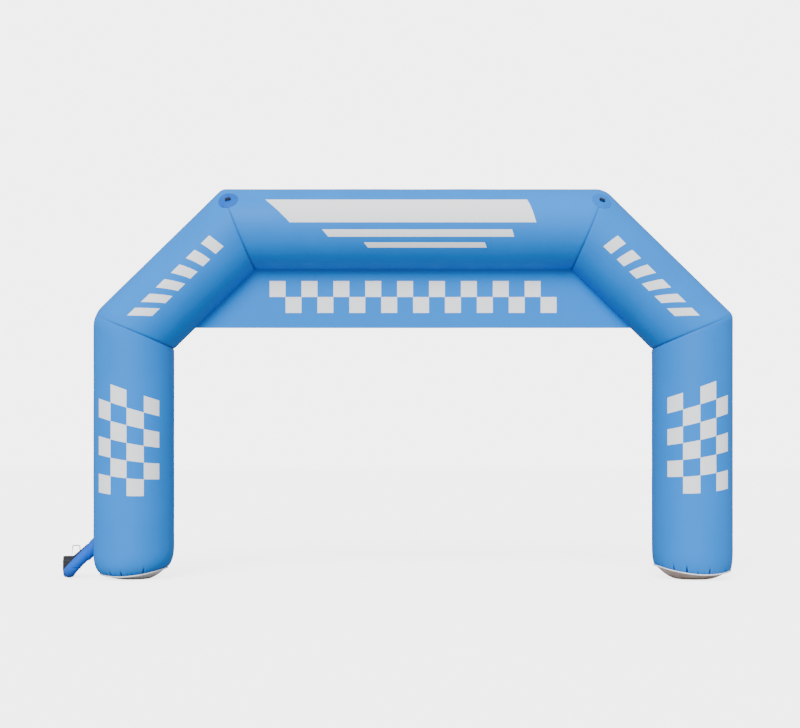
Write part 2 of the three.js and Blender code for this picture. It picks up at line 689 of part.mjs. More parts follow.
/** Places the blower's frame so that its nozzle lies in the sleeve's end. */
function blowerFrame() {
  const end = sleevePath.getPointAt(1);
  const blower = new THREE.Group();
  const onward = sleevePath.getTangentAt(1);
  blower.position.set(end.x + GAP * onward.x, end.y + GAP * onward.y, 0);
  blower.rotation.z = Math.atan2(-onward.x, onward.y);
  blower.updateMatrix();
  return blower;
}

/** A cylinder along Y, from start for length, with its axis at the nozzle's height. */
function nozzleGeometry(radius, length, start = 0) {
  const geometry = new THREE.CylinderGeometry(radius, radius, length, SLEEVE_SIDES);
  return geometry.translate(0, start - length / 2, NOZZLE_Z);
}

/** Turns an outline drawn in Y and Z, extruded by width, so that its width lies along X. */
function extrudeAcross(outline, width, bevel = 0, curveSegments = 12) {
  const geometry = new THREE.ExtrudeGeometry(outline, {
    depth: width - 2 * bevel,
    bevelEnabled: bevel > 0,
    bevelSize: bevel,
    bevelThickness: bevel,
    bevelOffset: -bevel,
    bevelSegments: 1,
    curveSegments,
  });
  geometry.translate(0, 0, bevel - width / 2);
  geometry.rotateX(Math.PI / 2);
  return geometry.rotateZ(Math.PI / 2);
}

/** A cylinder along X, centred on the fan's axis. */
function fanCylinder(radius, width, middleX, sides = FAN_SIDES) {
  const geometry = new THREE.CylinderGeometry(radius, radius, width, sides).rotateZ(Math.PI / 2);
  return geometry.translate(middleX, HOUSING_MIDDLE.x, HOUSING_MIDDLE.y);
}

/** The snail shell with its nozzle, and with the intake sunk into its left face. */
function housingGeometry() {
  const { x: middleY, y: middleZ } = HOUSING_MIDDLE;
  const outline = new THREE.Shape();
  outline.moveTo(0, NOZZLE_Z);
  outline.lineTo(0, HOUSING_FLOOR);
  outline.absarc(middleY, middleZ, HOUSING_RADIUS, -Math.PI / 2, 5 * Math.PI / 6, false);
  outline.lineTo(0, MOUTH_TOP);
  outline.closePath();
  const intake = fanCylinder(INTAKE_RADIUS, 2 * INTAKE_DEPTH, -HOUSING_WIDTH / 2);
  const shell = toSolid(extrudeAcross(outline, HOUSING_WIDTH, HOUSING_BEVEL))
    .add(toSolid(nozzleGeometry(NOZZLE_RADIUS, NOZZLE_LENGTH + 2 * HOUSING_BEVEL, 2 * HOUSING_BEVEL)))
    .subtract(toSolid(intake));
  return toGeometry(shell);
}

/** Rings and spokes over the intake. */
function guardGeometry() {
  const middleX = -HOUSING_WIDTH / 2 - GAP - GUARD_THICKNESS / 2;
  const ring = (radius, width) => toSolid(fanCylinder(radius + width / 2, GUARD_THICKNESS, middleX))
    .subtract(toSolid(fanCylinder(radius - width / 2, 2 * GUARD_THICKNESS, middleX)));
  let guard = ring(INTAKE_RADIUS + GUARD_RIM / 2, GUARD_RIM);
  for (const radius of GUARD_RINGS) guard = guard.add(ring(radius, GUARD_BAR));
  guard = guard.add(toSolid(fanCylinder(GUARD_HUB_RADIUS, GUARD_THICKNESS, middleX, SMALL_SIDES)));
  for (let i = 0; i < GUARD_SPOKES; i++) {
    const spoke = new THREE.BoxGeometry(GUARD_THICKNESS, 2 * INTAKE_RADIUS + GUARD_RIM, GUARD_BAR);
    spoke.rotateX(i * Math.PI / GUARD_SPOKES).translate(middleX, HOUSING_MIDDLE.x, HOUSING_MIDDLE.y);
    guard = guard.add(toSolid(spoke));
  }
  return toGeometry(guard);
}

/** A cradle under the shell, shaped to its round back. */
function standGeometry() {
  const { x: middleY, y: middleZ } = HOUSING_MIDDLE;
  const reach = HOUSING_RADIUS + GAP;
  const backY = middleY + reach * Math.cos(STAND_TIP_TURN) + STAND_EDGE;
  const outline = new THREE.Shape();
  outline.moveTo(STAND_FRONT, STAND_FLOOR);
  outline.lineTo(backY, STAND_FLOOR);
  outline.lineTo(backY, middleZ + reach * Math.sin(STAND_TIP_TURN));
  outline.absarc(middleY, middleZ, reach, STAND_TIP_TURN, -Math.PI / 2, true);
  outline.lineTo(STAND_FRONT, HOUSING_FLOOR - GAP);
  outline.closePath();
  return extrudeAcross(outline, STAND_WIDTH);
}

/** A hook-shaped bar in X and Z, cut from one outline so that its legs can differ in length. */
function handleGeometry() {
  const { x: middleY, y: middleZ } = HOUSING_MIDDLE;
  const shellTop = middleZ + HOUSING_RADIUS + GAP;
  const motorTop = middleZ + MOTOR_RADIUS + GAP;
  const left = HANDLE_LEFT + HANDLE_CORNER;
  const right = HANDLE_RIGHT - HANDLE_CORNER;
  const top = HANDLE_TOP - HANDLE_CORNER;
  const inner = HANDLE_CORNER - HANDLE_THICKNESS;
  const outline = new THREE.Shape();
  outline.moveTo(HANDLE_LEFT + HANDLE_THICKNESS, shellTop);
  outline.absarc(left, top, inner, Math.PI, Math.PI / 2, true);
  outline.absarc(right, top, inner, Math.PI / 2, 0, true);
  outline.lineTo(HANDLE_RIGHT - HANDLE_THICKNESS, motorTop);
  outline.lineTo(HANDLE_RIGHT, motorTop);
  outline.absarc(right, top, HANDLE_CORNER, 0, Math.PI / 2, false);
  outline.absarc(left, top, HANDLE_CORNER, Math.PI / 2, Math.PI, false);
  outline.lineTo(HANDLE_LEFT, shellTop);
  outline.closePath();
  const settings = { depth: HANDLE_DEPTH, bevelEnabled: false, curveSegments: 4 };
  return new THREE.ExtrudeGeometry(outline, settings)
    .translate(0, 0, -HANDLE_DEPTH / 2)
    .rotateX(Math.PI / 2)
    .translate(0, middleY, 0);
}

/** A rubber pad under a corner of the stand. */
function addFootPad(blower, name, x, y) {
  const height = STAND_FLOOR - GAP;
  const pad = new THREE.CylinderGeometry(FOOT_PAD_RADIUS, FOOT_PAD_RADIUS, height, SMALL_SIDES);
  addPart(blower, name, pad.rotateX(Math.PI / 2), RUBBER).position.set(x, y, height / 2);
}

function addBlower(blower) {
  const { x: middleY, y: middleZ } = HOUSING_MIDDLE;
  addPart(blower, 'blower_housing', housingGeometry(), BLACK_PLASTIC);
  addPart(blower, 'blower_guard', guardGeometry(), GUARD_WIRE);
  const motorX = HOUSING_WIDTH / 2 + GAP + MOTOR_LENGTH / 2;
  addPart(blower, 'blower_motor', fanCylinder(MOTOR_RADIUS, MOTOR_LENGTH, motorX), BLACK_PLASTIC);
  addPart(blower, 'blower_stand', standGeometry(), BLACK_PLASTIC);
  addPart(blower, 'blower_handle', handleGeometry(), HANDLE_GREY);
  const gland = new THREE.CylinderGeometry(GLAND_RADIUS, GLAND_RADIUS, GLAND_LENGTH, SMALL_SIDES);
  addPart(blower, 'blower_gland', gland, RUBBER)
    .position.set(0, middleY + HOUSING_RADIUS + GAP + GLAND_LENGTH / 2, middleZ);
  const padX = STAND_WIDTH / 2 - FOOT_PAD_RADIUS;
  for (const [end, y] of Object.entries(FOOT_PAD_PLACES)) {
    for (const [place, side] of Object.entries(SIDES)) {
      addFootPad(blower, `blower_foot_${end}_${place}`, side * padX, y);
    }
  }
}

// ---------------------------------------------------------------- assembly

for (const place of Object.keys(SIDES)) {
  addLeg(place);
  addSlope(place);
  addFoot(place);
  addTether(place);
}
addBeam();
addBanner();
const blower = blowerFrame();
arch.add(blower);
addSleeve(blower);
addStrap(blower);
addBlower(blower);

export default arch;
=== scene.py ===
# An air-filled race arch: the skins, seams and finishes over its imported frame.
# Metres, +Z up, +X to the right, -Y to the front, the origin on the ground.
import math

import bmesh
import bpy
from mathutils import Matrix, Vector, noise


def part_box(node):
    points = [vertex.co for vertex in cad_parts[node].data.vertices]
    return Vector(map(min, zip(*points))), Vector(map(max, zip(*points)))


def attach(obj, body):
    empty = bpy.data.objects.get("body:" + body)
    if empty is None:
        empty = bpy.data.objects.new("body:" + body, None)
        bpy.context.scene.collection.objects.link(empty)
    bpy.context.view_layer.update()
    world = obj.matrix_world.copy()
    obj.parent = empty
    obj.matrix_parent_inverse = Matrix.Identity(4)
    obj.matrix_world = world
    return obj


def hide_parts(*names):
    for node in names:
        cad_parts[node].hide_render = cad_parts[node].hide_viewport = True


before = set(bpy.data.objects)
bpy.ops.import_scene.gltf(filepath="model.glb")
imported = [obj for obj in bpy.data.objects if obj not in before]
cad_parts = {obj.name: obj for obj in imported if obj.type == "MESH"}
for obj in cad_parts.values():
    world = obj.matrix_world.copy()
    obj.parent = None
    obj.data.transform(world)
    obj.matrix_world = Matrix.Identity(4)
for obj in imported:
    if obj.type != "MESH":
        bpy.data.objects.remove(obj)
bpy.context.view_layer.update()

# ---------------- sizes of the arch

ARCH_X = 0.247  # the arch's middle plane
TUBE_RADIUS = 0.5
LEG_X = 3.5
LOWER_CORNER_Z = 3.092
BEAM_CORNER_X = 2.185
BEAM_Z = 4.375
SEAM_GAP = 0.00015  # from a mitred end to the seam's own plane
CLOTH_GAP = 0.0003  # from the banner's edges to the tubes
SLOPE_RUN = LEG_X - BEAM_CORNER_X
SLOPE_RISE = BEAM_Z - LOWER_CORNER_Z
SLOPE_LENGTH = math.hypot(SLOPE_RUN, SLOPE_RISE)
SLOPE_ANGLE = math.atan2(SLOPE_RISE, SLOPE_RUN)

SIDES = (("left", -1), ("right", 1))


def seam_facts(bend, corner_radius, pucker, seed):
    """A mitred seam: its lean, how deep and how far it is rounded off, and its puckers."""
    return {
        "lean": math.tan(bend / 2),
        "depth": corner_radius * (1 / math.cos(bend / 2) - 1),
        "reach": corner_radius * math.tan(bend / 2),
        "pucker": pucker,
        "seed": seed,
    }


LOWER_SEAMS = {
    "left": seam_facts(math.pi / 2 - SLOPE_ANGLE, 0.36, 0.0022, 3.0),
    "right": seam_facts(math.pi / 2 - SLOPE_ANGLE, 0.13, 0.0022, 5.0),
}
UPPER_SEAMS = {
    "left": seam_facts(SLOPE_ANGLE, 0.125, 0.0022, 11.0),
    "right": seam_facts(SLOPE_ANGLE, 0.27, 0.0040, 14.0),
}
CREASE_DEPTH = 0.0095
CREASE_LENGTH = 0.034
PUCKER_LENGTH = 0.16
PUCKER_START = 0.012
PUCKER_INWARD = 1.4  # the power by which puckers gather on a corner's inner side
BROAD_SWELL, BROAD_SCALE = 0.0016, 1.9
FINE_SWELL, FINE_SCALE = 0.0007, 5.5
SKIN_INSET = 0.0008

END_REACH = 0.42  # how much of each end of a tube has close rows of points
ROW_GROWTH = 1.13
ROW_STEP = 0.09  # between rows in the middle of a tube
HEM_REACH = 0.3
SEAM_REACH = 0.45
EASE_LENGTH = 0.25  # over which the skin's unevenness grows from an end
SEAM_MAP_FAR = 0.4  # the seam map's value away from the ends
HEM_MAP_LEAST = 0.012  # its least value at a hem, past the first row of stitches
# FULL_FOLD scales the 'fold' attribute, which paints shade into the hem's gathers.
FULL_FOLD = 0.016  # the depth of gather that counts as a full fold

FEET = {
    "left": {"height": 0.110, "radius": 0.409, "slope": 0.087, "dip": 0.118},
    "right": {"height": 0.149, "radius": 0.466, "slope": 0.060, "dip": 0.131},
}
FOOT_ROWS = [  # distance from the hem, and the share of the way in to it
    (0, 1), (0.014, 0.79), (0.036, 0.57), (0.072, 0.35), (0.118, 0.17), (0.18, 0.05), (0.26, 0),
]
GATHERS = [  # turn from the leg's outer side in degrees, depth and rise in millimetres
    (12, 10, 85), (34, 9, 65), (61, 18, 110), (80, 19, 105), (97, 8, 60), (115, 20, 120),
    (135, 10, 70), (158, 11, 80), (183, 13, 100), (208, 10, 80), (231, 17, 110), (251, 21, 125),
    (267, 9, 70), (285, 20, 120), (317, 12, 90), (341, 13, 90),
]
GATHER_SPAN = 14  # how far a gather reaches each way, in degrees
GATHER_FADE = 1.6
GATHER_WIDTH, GATHER_SPREAD = 1.0, 8  # degrees at the hem, and more for each metre above it
SHOULDER, SHOULDER_AWAY, SHOULDER_WIDTH = 0.25, 3.4, 1.9  # share of a gather's depth, and degrees
SMALL_FOLD, SMALL_FOLD_SCALE, SMALL_FOLD_RISE = 0.0045, 9.5, 0.035
BILLOW, BILLOW_RISE, BILLOW_START = 0.003, 0.06, 0.01
PAN_FLOOR_SHARE = 0.45  # the part of the base panel's radius that lies flat
PAN_SHARES = (0.0, 0.22, 0.45, 0.5, 0.55, 0.61, 0.68, 0.75, 0.82, 0.88, 0.93, 0.965, 0.99)
PAN_CURVE = 1.6  # the power by which the panel rises from its floor
PAN_UNEVEN = 0.003
PAN_TUCK, WELT_TUCK = 0.3, 0.35  # the shares of a gather's depth that the panel and piping follow
LID_DROP = 0.0005
WELT_RADIUS = 0.0085
WELT_OFFSET = 0.0068  # of its middle from the hem, outwards and downwards
PLAIN_WELT = 0.1  # the minor radius of the ring that the piping is made from

# ---------------- camera, light and floor

CAMERA_AT = (0.083, -18.0, 1.5)
CAMERA_LENS = 64.57
CAMERA_SHIFT = 0.1185
KEY_FROM = (-0.15, -0.80, 0.56)  # the way to the broad light
KEY_STRENGTH = 4.3
KEY_BREADTH = 34  # degrees
FLOOR_SIZE = 400
PAPER_SEEN = (0.9, 0.9, 0.9, 1)
PAPER_BOUNCE = (0.32, 0.32, 0.33, 1)
SKY_FILL = 0.8
SKY_SEEN = 5.0
FLOOR_SEEN = 3.3  # the paper's own glow, in the camera's view only


def add_camera():
    """A level camera in front of the arch, a little left of its middle."""
    data = bpy.data.cameras.new("camera")
    data.lens = CAMERA_LENS
    data.shift_y = CAMERA_SHIFT
    camera = bpy.data.objects.new("camera", data)
    camera.location = CAMERA_AT
    camera.rotation_euler = (math.pi / 2, 0, 0)
    bpy.context.collection.objects.link(camera)
    bpy.context.scene.camera = camera


def studio_paper():
    """Pale matt paper, which bounces less light back than it shows."""
    material, tree, shader = new_material("studio paper")
    seen = tree.nodes.new("ShaderNodeLightPath").outputs["Is Camera Ray"]
    colour = blend_colours(tree, seen, PAPER_BOUNCE, PAPER_SEEN)
    tree.links.new(colour, shader.inputs["Base Color"])
    shader.inputs["Emission Color"].default_value = (1, 1, 1, 1)
    tree.links.new(calc(tree, "MULTIPLY", seen, FLOOR_SEEN), shader.inputs["Emission Strength"])
    shader.inputs["Roughness"].default_value = 0.95
    shader.inputs["Specular IOR Level"].default_value = 0.1
    return material


def add_studio():
    """A pale floor under an even pale sky, and one broad soft light high in front, a little left."""
    bpy.ops.object.select_all(action="DESELECT")
    bpy.ops.mesh.primitive_plane_add(size=FLOOR_SIZE, location=(0, 0, 0))
    floor = bpy.context.object
    floor.name = "studio_floor"
    floor.data.materials.append(studio_paper())
    world = bpy.context.scene.world or bpy.data.worlds.new("studio")
    bpy.context.scene.world = world
    world.use_nodes = True
    tree = world.node_tree
    seen = tree.nodes.new("ShaderNodeLightPath").outputs["Is Camera Ray"]
    backdrop = tree.nodes["Background"]
    backdrop.inputs["Color"].default_value = (1.0, 1.0, 1.0, 1)
    tree.links.new(ramp_up(tree, seen, 0.0, 1.0, SKY_FILL, SKY_SEEN), backdrop.inputs["Strength"])
    sun = bpy.data.lights.new("broad light", "SUN")
    sun.energy = KEY_STRENGTH
    sun.angle = math.radians(KEY_BREADTH)
    light = bpy.data.objects.new("broad light", sun)
    light.rotation_euler = Vector(KEY_FROM).to_track_quat("Z", "Y").to_euler()
    bpy.context.collection.objects.link(light)


# ---------------- node helpers


def put(tree, kind, *inputs, **settings):
    """Adds a node, fills its first sockets with values or links, and returns its first output."""
    node = tree.nodes.new("ShaderNode" + kind)
    for name, value in settings.items():
        setattr(node, name, value)
    for socket, value in zip(node.inputs, inputs):
        feed(tree, socket, value)
    return node.outputs[0]


def feed(tree, socket, value):
    if value is None:
        return
    if isinstance(value, bpy.types.NodeSocket):
        tree.links.new(value, socket)
    else:
        socket.default_value = value


def calc(tree, operation, *inputs):
    return put(tree, "Math", *inputs, operation=operation)


def blend_colours(tree, share, low, high):
    node = tree.nodes.new("ShaderNodeMix")
    node.data_type = "RGBA"
    for name, value in (("Factor_Float", share), ("A_Color", low), ("B_Color", high)):
        feed(tree, next(s for s in node.inputs if s.identifier == name), value)
    return next(s for s in node.outputs if s.identifier == "Result_Color")


def ramp_up(tree, value, low, high, bottom=0.0, top=1.0):
    """Value from low to high, as bottom to top, without overshoot."""
    return put(tree, "MapRange", value, low, high, bottom, top, interpolation_type="SMOOTHSTEP")


def parts_of(tree, vector):
    """A vector's three parts."""
    split = tree.nodes.new("ShaderNodeSeparateXYZ")
    tree.links.new(vector, split.inputs[0])
    return list(split.outputs)


def noise_at(tree, place, scale, detail, roughness):
    return put(tree, "TexNoise", place, None, scale, detail, roughness)


def make_group(name, inputs, outputs, fill):
    """A shader node group: inputs are (name, kind, value), outputs are (name, kind)."""
    group = bpy.data.node_groups.new(name, "ShaderNodeTree")
    for label, kind, value in inputs:
        socket = group.interface.new_socket(label, in_out="INPUT", socket_type="NodeSocket" + kind)
        if value is not None:
            socket.default_value = value
    for label, kind in outputs:
        group.interface.new_socket(label, in_out="OUTPUT", socket_type="NodeSocket" + kind)
    entry = group.nodes.new("NodeGroupInput")
    leave = group.nodes.new("NodeGroupOutput")
    results = fill(group, *entry.outputs[: len(inputs)])
    for socket, result in zip(leave.inputs, results):
        group.links.new(result, socket)
    return group


def place_group(tree, group, *inputs):
    node = tree.nodes.new("ShaderNodeGroup")
    node.node_tree = group
    for socket, value in zip(node.inputs, inputs):
        feed(tree, socket, value)
    return list(node.outputs)


# ---------------- shared effects


THREAD_CORE, THREAD_EDGE, DIMPLE_EDGE = 0.0007, 0.0012, 0.004  # from a stitch's middle line


def fill_weave(tree, flat, pitch):
    """Plain weave of threads pitch apart, over a map in metres."""
    threads = []
    for way in parts_of(tree, flat)[:2]:
        turns = calc(tree, "DIVIDE", calc(tree, "MULTIPLY", way, math.tau), pitch)
        threads.append(calc(tree, "SINE", turns))
    return [calc(tree, "MULTIPLY_ADD", calc(tree, "MULTIPLY", *threads), 0.5, 0.5)]


def fill_wrinkles(tree, place, size, seed):
    """Long soft creases and small crinkles; the first output is a height, the second a shade."""
    shifted = put(tree, "VectorMath", place, seed, operation="ADD")
    broad = noise_at(tree, shifted, calc(tree, "DIVIDE", 1.0, size), 3.0, 0.5)
    fine = noise_at(tree, shifted, calc(tree, "DIVIDE", 7.0, size), 4.0, 0.55)
    height = calc(tree, "MULTIPLY_ADD", fine, 0.22, broad)
    return [height, ramp_up(tree, broad, 0.35, 0.65)]


def fill_ground_dirt(tree, place, reach, amount):
    """Splashes of dirt near the ground, fading out at a height of reach."""
    _, _, up = parts_of(tree, place)
    low = calc(tree, "SUBTRACT", 1.0, ramp_up(tree, calc(tree, "DIVIDE", up, reach), 0.0, 1.0))
    specks = ramp_up(tree, noise_at(tree, place, 26.0, 6.0, 0.68), 0.47, 0.66)
    patches = ramp_up(tree, noise_at(tree, place, 5.0, 3.0, 0.5), 0.38, 0.66)
    mask = calc(tree, "MULTIPLY_ADD", specks, 0.6, calc(tree, "MULTIPLY", patches, 0.4))
    return [calc(tree, "MULTIPLY", calc(tree, "MULTIPLY", mask, low), amount)]


def fill_stitches(tree, along, across, row, pitch):
    """One row of stitches: the first output is their mask, the second the dimple round them."""
    away = calc(tree, "ABSOLUTE", calc(tree, "SUBTRACT", across, row))
    thread = calc(tree, "SUBTRACT", 1.0, ramp_up(tree, away, THREAD_CORE, THREAD_EDGE))
    step = calc(tree, "FRACT", calc(tree, "DIVIDE", along, pitch))
    gap = ramp_up(tree, calc(tree, "ABSOLUTE", calc(tree, "SUBTRACT", step, 0.5)), 0.33, 0.4, 1.0, 0.0)
    dimple = calc(tree, "SUBTRACT", 1.0, ramp_up(tree, away, 0.0, DIMPLE_EDGE))
    return [calc(tree, "MULTIPLY", thread, gap), dimple]


def fill_grain(tree, place, size):
    """Fine moulded or cast grain with a faint cloudiness."""
    fine = noise_at(tree, place, calc(tree, "DIVIDE", 1.0, size), 3.0, 0.6)
    cloud = noise_at(tree, place, 9.0, 3.0, 0.55)
    scuff = ramp_up(tree, noise_at(tree, place, 55.0, 5.0, 0.7), 0.58, 0.72)
    return [fine, cloud, scuff]


WEAVE = make_group(
    "plain weave", [("Flat map", "Vector", None), ("Thread pitch", "Float", 0.0014)],
    [("Height", "Float")], fill_weave)
WRINKLES = make_group(
    "cloth wrinkles", [("Place", "Vector", None), ("Size", "Float", 0.5), ("Seed", "Vector", None)],
    [("Height", "Float"), ("Shade", "Float")], fill_wrinkles)
GROUND_DIRT = make_group(
    "ground dirt", [("Place", "Vector", None), ("Reach", "Float", 0.3), ("Amount", "Float", 0.5)],
    [("Mask", "Float")], fill_ground_dirt)
STITCHES = make_group(
    "stitch row",
    [("Along", "Float", 0.0), ("Across", "Float", 0.0), ("Row", "Float", 0.01), ("Pitch", "Float", 0.005)],
    [("Mask", "Float"), ("Dimple", "Float")], fill_stitches)
GRAIN = make_group(
    "moulded grain", [("Place", "Vector", None), ("Size", "Float", 0.001)],
    [("Height", "Float"), ("Cloud", "Float"), ("Scuff", "Float")], fill_grain)

# ---------------- materials


def new_material(name):
    material = bpy.data.materials.new(name)
    material.use_nodes = True
    tree = material.node_tree
    return material, tree, tree.nodes["Principled BSDF"]


def bump(tree, height, strength, distance, normal=None):
    node = tree.nodes.new("ShaderNodeBump")
    node.inputs["Strength"].default_value = strength
    node.inputs["Distance"].default_value = distance
    tree.links.new(height, node.inputs["Height"])
    feed(tree, node.inputs["Normal"], normal)
    return node.outputs["Normal"]


def object_place(tree):
    return tree.nodes.new("ShaderNodeTexCoord").outputs["Object"]


def uv_map(tree, name):
    node = tree.nodes.new("ShaderNodeUVMap")
    node.uv_map = name
    return node.outputs[0]


def inside(tree, value, low, high):
    """1 where value lies from low to high."""
    above = calc(tree, "GREATER_THAN", value, low)
    return calc(tree, "MULTIPLY", above, calc(tree, "LESS_THAN", value, high))


def alternate(tree, value, pitch):
    """0 and 1 by turns, every pitch."""
    return calc(tree, "FLOORED_MODULO", calc(tree, "FLOOR", calc(tree, "DIVIDE", value, pitch)), 2.0)


def chequer_print(tree, across, along, half_width, low, high, square):
    """A block of alternate squares."""
    block = calc(tree, "MULTIPLY", inside(tree, across, -half_width, half_width),
                 inside(tree, along, low, high))
    columns = alternate(tree, calc(tree, "ADD", across, half_width), square)
    rows = alternate(tree, calc(tree, "SUBTRACT", along, low), square)
    odd = calc(tree, "ABSOLUTE", calc(tree, "SUBTRACT", columns, rows))
    return calc(tree, "MULTIPLY", block, odd)


DASH_SLANT, DASH_PITCH, DASH_LENGTH, DASH_HALF = 0.55, 0.235, 0.135, 0.11
DASHES_FROM, DASHES_TO = 0.22, 1.63
STRIPES = (  # middle, half height and half length
    (0.17, 0.16, 1.5), (-0.12, 0.045, 1.18), (-0.27, 0.035, 0.78),
)
STRIPE_SLANT = 0.6


def leg_print(tree, across, along):
    return chequer_print(tree, across, along, 0.42, 0.98, 2.24, 0.21)


def slope_print(tree, across, along):
    """A row of slanted dashes along the tube."""
    slanted = calc(tree, "MULTIPLY_ADD", across, DASH_SLANT, along)
    step = calc(tree, "FLOORED_MODULO", calc(tree, "SUBTRACT", slanted, DASHES_FROM), DASH_PITCH)
    dash = calc(tree, "LESS_THAN", step, DASH_LENGTH)
    row = calc(tree, "MULTIPLY", inside(tree, across, -DASH_HALF, DASH_HALF),
               inside(tree, slanted, DASHES_FROM, DASHES_TO))
    return calc(tree, "MULTIPLY", dash, row)


def beam_print(tree, across, along):
    """Three plain stripes with slanted ends, the widest on top."""
    stripes = None
    from_middle = calc(tree, "SUBTRACT", along, BEAM_CORNER_X)
    for middle, half_height, half_length in STRIPES:
        slanted = calc(tree, "ABSOLUTE", calc(tree, "MULTIPLY_ADD", across, STRIPE_SLANT, from_middle))
        level = inside(tree, across, middle - half_height, middle + half_height)
        stripe = calc(tree, "MULTIPLY", level, calc(tree, "LESS_THAN", slanted, half_length))
        stripes = stripe if stripes is None else calc(tree, "MAXIMUM", stripes, stripe)
    return stripes


def banner_print(tree, across, along):
    return chequer_print(tree, across, along, 1.8, 0.19, 0.59, 0.2)


SKY_BLUE = (0.0004, 0.22, 0.76, 1)
BANNER_BLUE = (0.0004, 0.225, 0.76, 1)
SLEEVE_BLUE = (0.0002, 0.11, 0.62, 1)
PRINT_WHITE = (0.95, 0.97, 1.0, 1)
# the painted shade along seams' creases
SEAM_SHADE_BLUE = (0.004, 0.055, 0.28, 1)
# the painted shade in a hem's gathers
FOLD_SHADE_BLUE = (0.0005, 0.02, 0.17, 1)
THREAD_BLUE = (0.03, 0.30, 0.80, 1)
PATCH_THREAD = (0.06, 0.24, 0.62, 1)
CLOTH_SOIL = (0.16, 0.17, 0.18, 1)
BASE_SOIL = (0.30, 0.235, 0.20, 1)
PIPING_SOIL = (0.32, 0.27, 0.24, 1)
COATED_THREAD = 0.0016  # the pitch of coated cloth's weave
COATED_GLOSS = 0.22
STITCH_PITCH = 0.006
SEAM_ROWS = (0.008, 0.016)  # of stitches, from a seam
# painted shade along a seam: how far it reaches, and how strong it is
SEAM_SHADE_REACH, SEAM_SHADE = 0.021, 0.55
PATCH_ROWS = (0.116, 0.108)  # of stitches, from a patch's middle
PATCH_TURN = 0.11  # the radius at which a turn round a patch is measured


def wire_up(tree, shader, colour, rough, normal):
    """Joins a finish's colour, roughness and normal to its shader."""
    for name, value in (("Base Color", colour), ("Roughness", rough), ("Normal", normal)):
        tree.links.new(value, shader.inputs[name])


def stitch_rows(tree, along, across, rows):
    """Two rows of stitches: the mask of both, and the dimple round the first."""
    first, dimple = place_group(tree, STITCHES, along, across, rows[0], STITCH_PITCH)
    second, _ = place_group(tree, STITCHES, along, across, rows[1], STITCH_PITCH)
    return calc(tree, "MAXIMUM", first, second), dimple


def draw_seams(tree, cloth, normal):
    """The cloth's colour and normal with its seams' painted shade, deepest on a corner's inner side, and
    their stitches.
    """
    round_it, from_seam, _ = parts_of(tree, uv_map(tree, "seam"))
    outward = calc(tree, "COSINE", calc(tree, "DIVIDE", round_it, TUBE_RADIUS))
    inner = ramp_up(tree, outward, 0.85, 0.1, 0.0, 1.0)
    # painted shade along the seam's crease, deepest on the corner's inner side
    near = calc(tree, "MULTIPLY", ramp_up(tree, from_seam, 0.0, SEAM_SHADE_REACH, 1.0, 0.0), inner)
    cloth = blend_colours(tree, calc(tree, "MULTIPLY", near, SEAM_SHADE), cloth, SEAM_SHADE_BLUE)
    thread, dimple = stitch_rows(tree, round_it, from_seam, SEAM_ROWS)
    cloth = blend_colours(tree, calc(tree, "MULTIPLY", thread, 0.3), cloth, THREAD_BLUE)
    relief = calc(tree, "SUBTRACT", calc(tree, "MULTIPLY", thread, 0.6), dimple)
    return cloth, bump(tree, relief, 0.5, 0.001, normal)


def gather_shade_mask(tree):
    """How deep in a gather a point lies: the mask of the painted shade in a hem's gathers."""
    node = tree.nodes.new("ShaderNodeAttribute")
    node.attribute_name = "fold"
    return node.outputs["Fac"]


def coated_cloth(name, print_mask=None, colour=SKY_BLUE, roughness=0.56, dirt=0.5, seamed=True,
                 paint_gather_shade=False):
    """Coated woven cloth with its print, stitched seams with painted shade along them, painted shade in a
    hem's gathers, soft creases and dirt near the ground.
    """
    material, tree, shader = new_material(name)
    place = object_place(tree)
    flat = uv_map(tree, "flat")
    height, shade = place_group(tree, WRINKLES, place, 0.55, (1.7, 4.1, 0.3))
    tone = tuple(channel * 0.95 for channel in colour[:3]) + (1,)
    cloth = blend_colours(tree, shade, tone, colour)
    if print_mask:
        across, along, _ = parts_of(tree, flat)
        cloth = blend_colours(tree, print_mask(tree, across, along), cloth, PRINT_WHITE)
    weave, = place_group(tree, WEAVE, flat, COATED_THREAD)
    normal = bump(tree, height, 0.14, 0.006)
    if seamed:
        cloth, normal = draw_seams(tree, cloth, normal)
    if paint_gather_shade:
        # painted shade, darkest deep in the hem's gathers
        fold = calc(tree, "MULTIPLY", ramp_up(tree, gather_shade_mask(tree), 0.04, 0.5), 0.9)
        cloth = blend_colours(tree, fold, cloth, FOLD_SHADE_BLUE)
    soil, = place_group(tree, GROUND_DIRT, place, 0.3, dirt)
    cloth = blend_colours(tree, soil, cloth, CLOTH_SOIL)
    rough = ramp_up(tree, shade, 0.0, 1.0, roughness, roughness + 0.12)
    rough = calc(tree, "MULTIPLY_ADD", soil, 0.3, rough)
    wire_up(tree, shader, cloth, rough, bump(tree, weave, 0.25, 0.0003, normal))
    shader.inputs["Specular IOR Level"].default_value = COATED_GLOSS
    return material


def base_cloth(name, dark, light, dirt):
    """Pale heavy cloth, soiled by the ground."""
    material, tree, shader = new_material(name)
    place = object_place(tree)
    height, shade = place_group(tree, WRINKLES, place, 0.12, (0.2, 0.9, 2.0))
    soil, = place_group(tree, GROUND_DIRT, place, 0.16, dirt)
    weave, = place_group(tree, WEAVE, place, 0.002)
    cloth = blend_colours(tree, shade, dark, light)
    cloth = blend_colours(tree, soil, cloth, BASE_SOIL)
    rough = ramp_up(tree, shade, 0.0, 1.0, 0.6, 0.8)
    normal = bump(tree, height, 0.6, 0.006)
    wire_up(tree, shader, cloth, rough, bump(tree, weave, 0.3, 0.0004, normal))
    return material


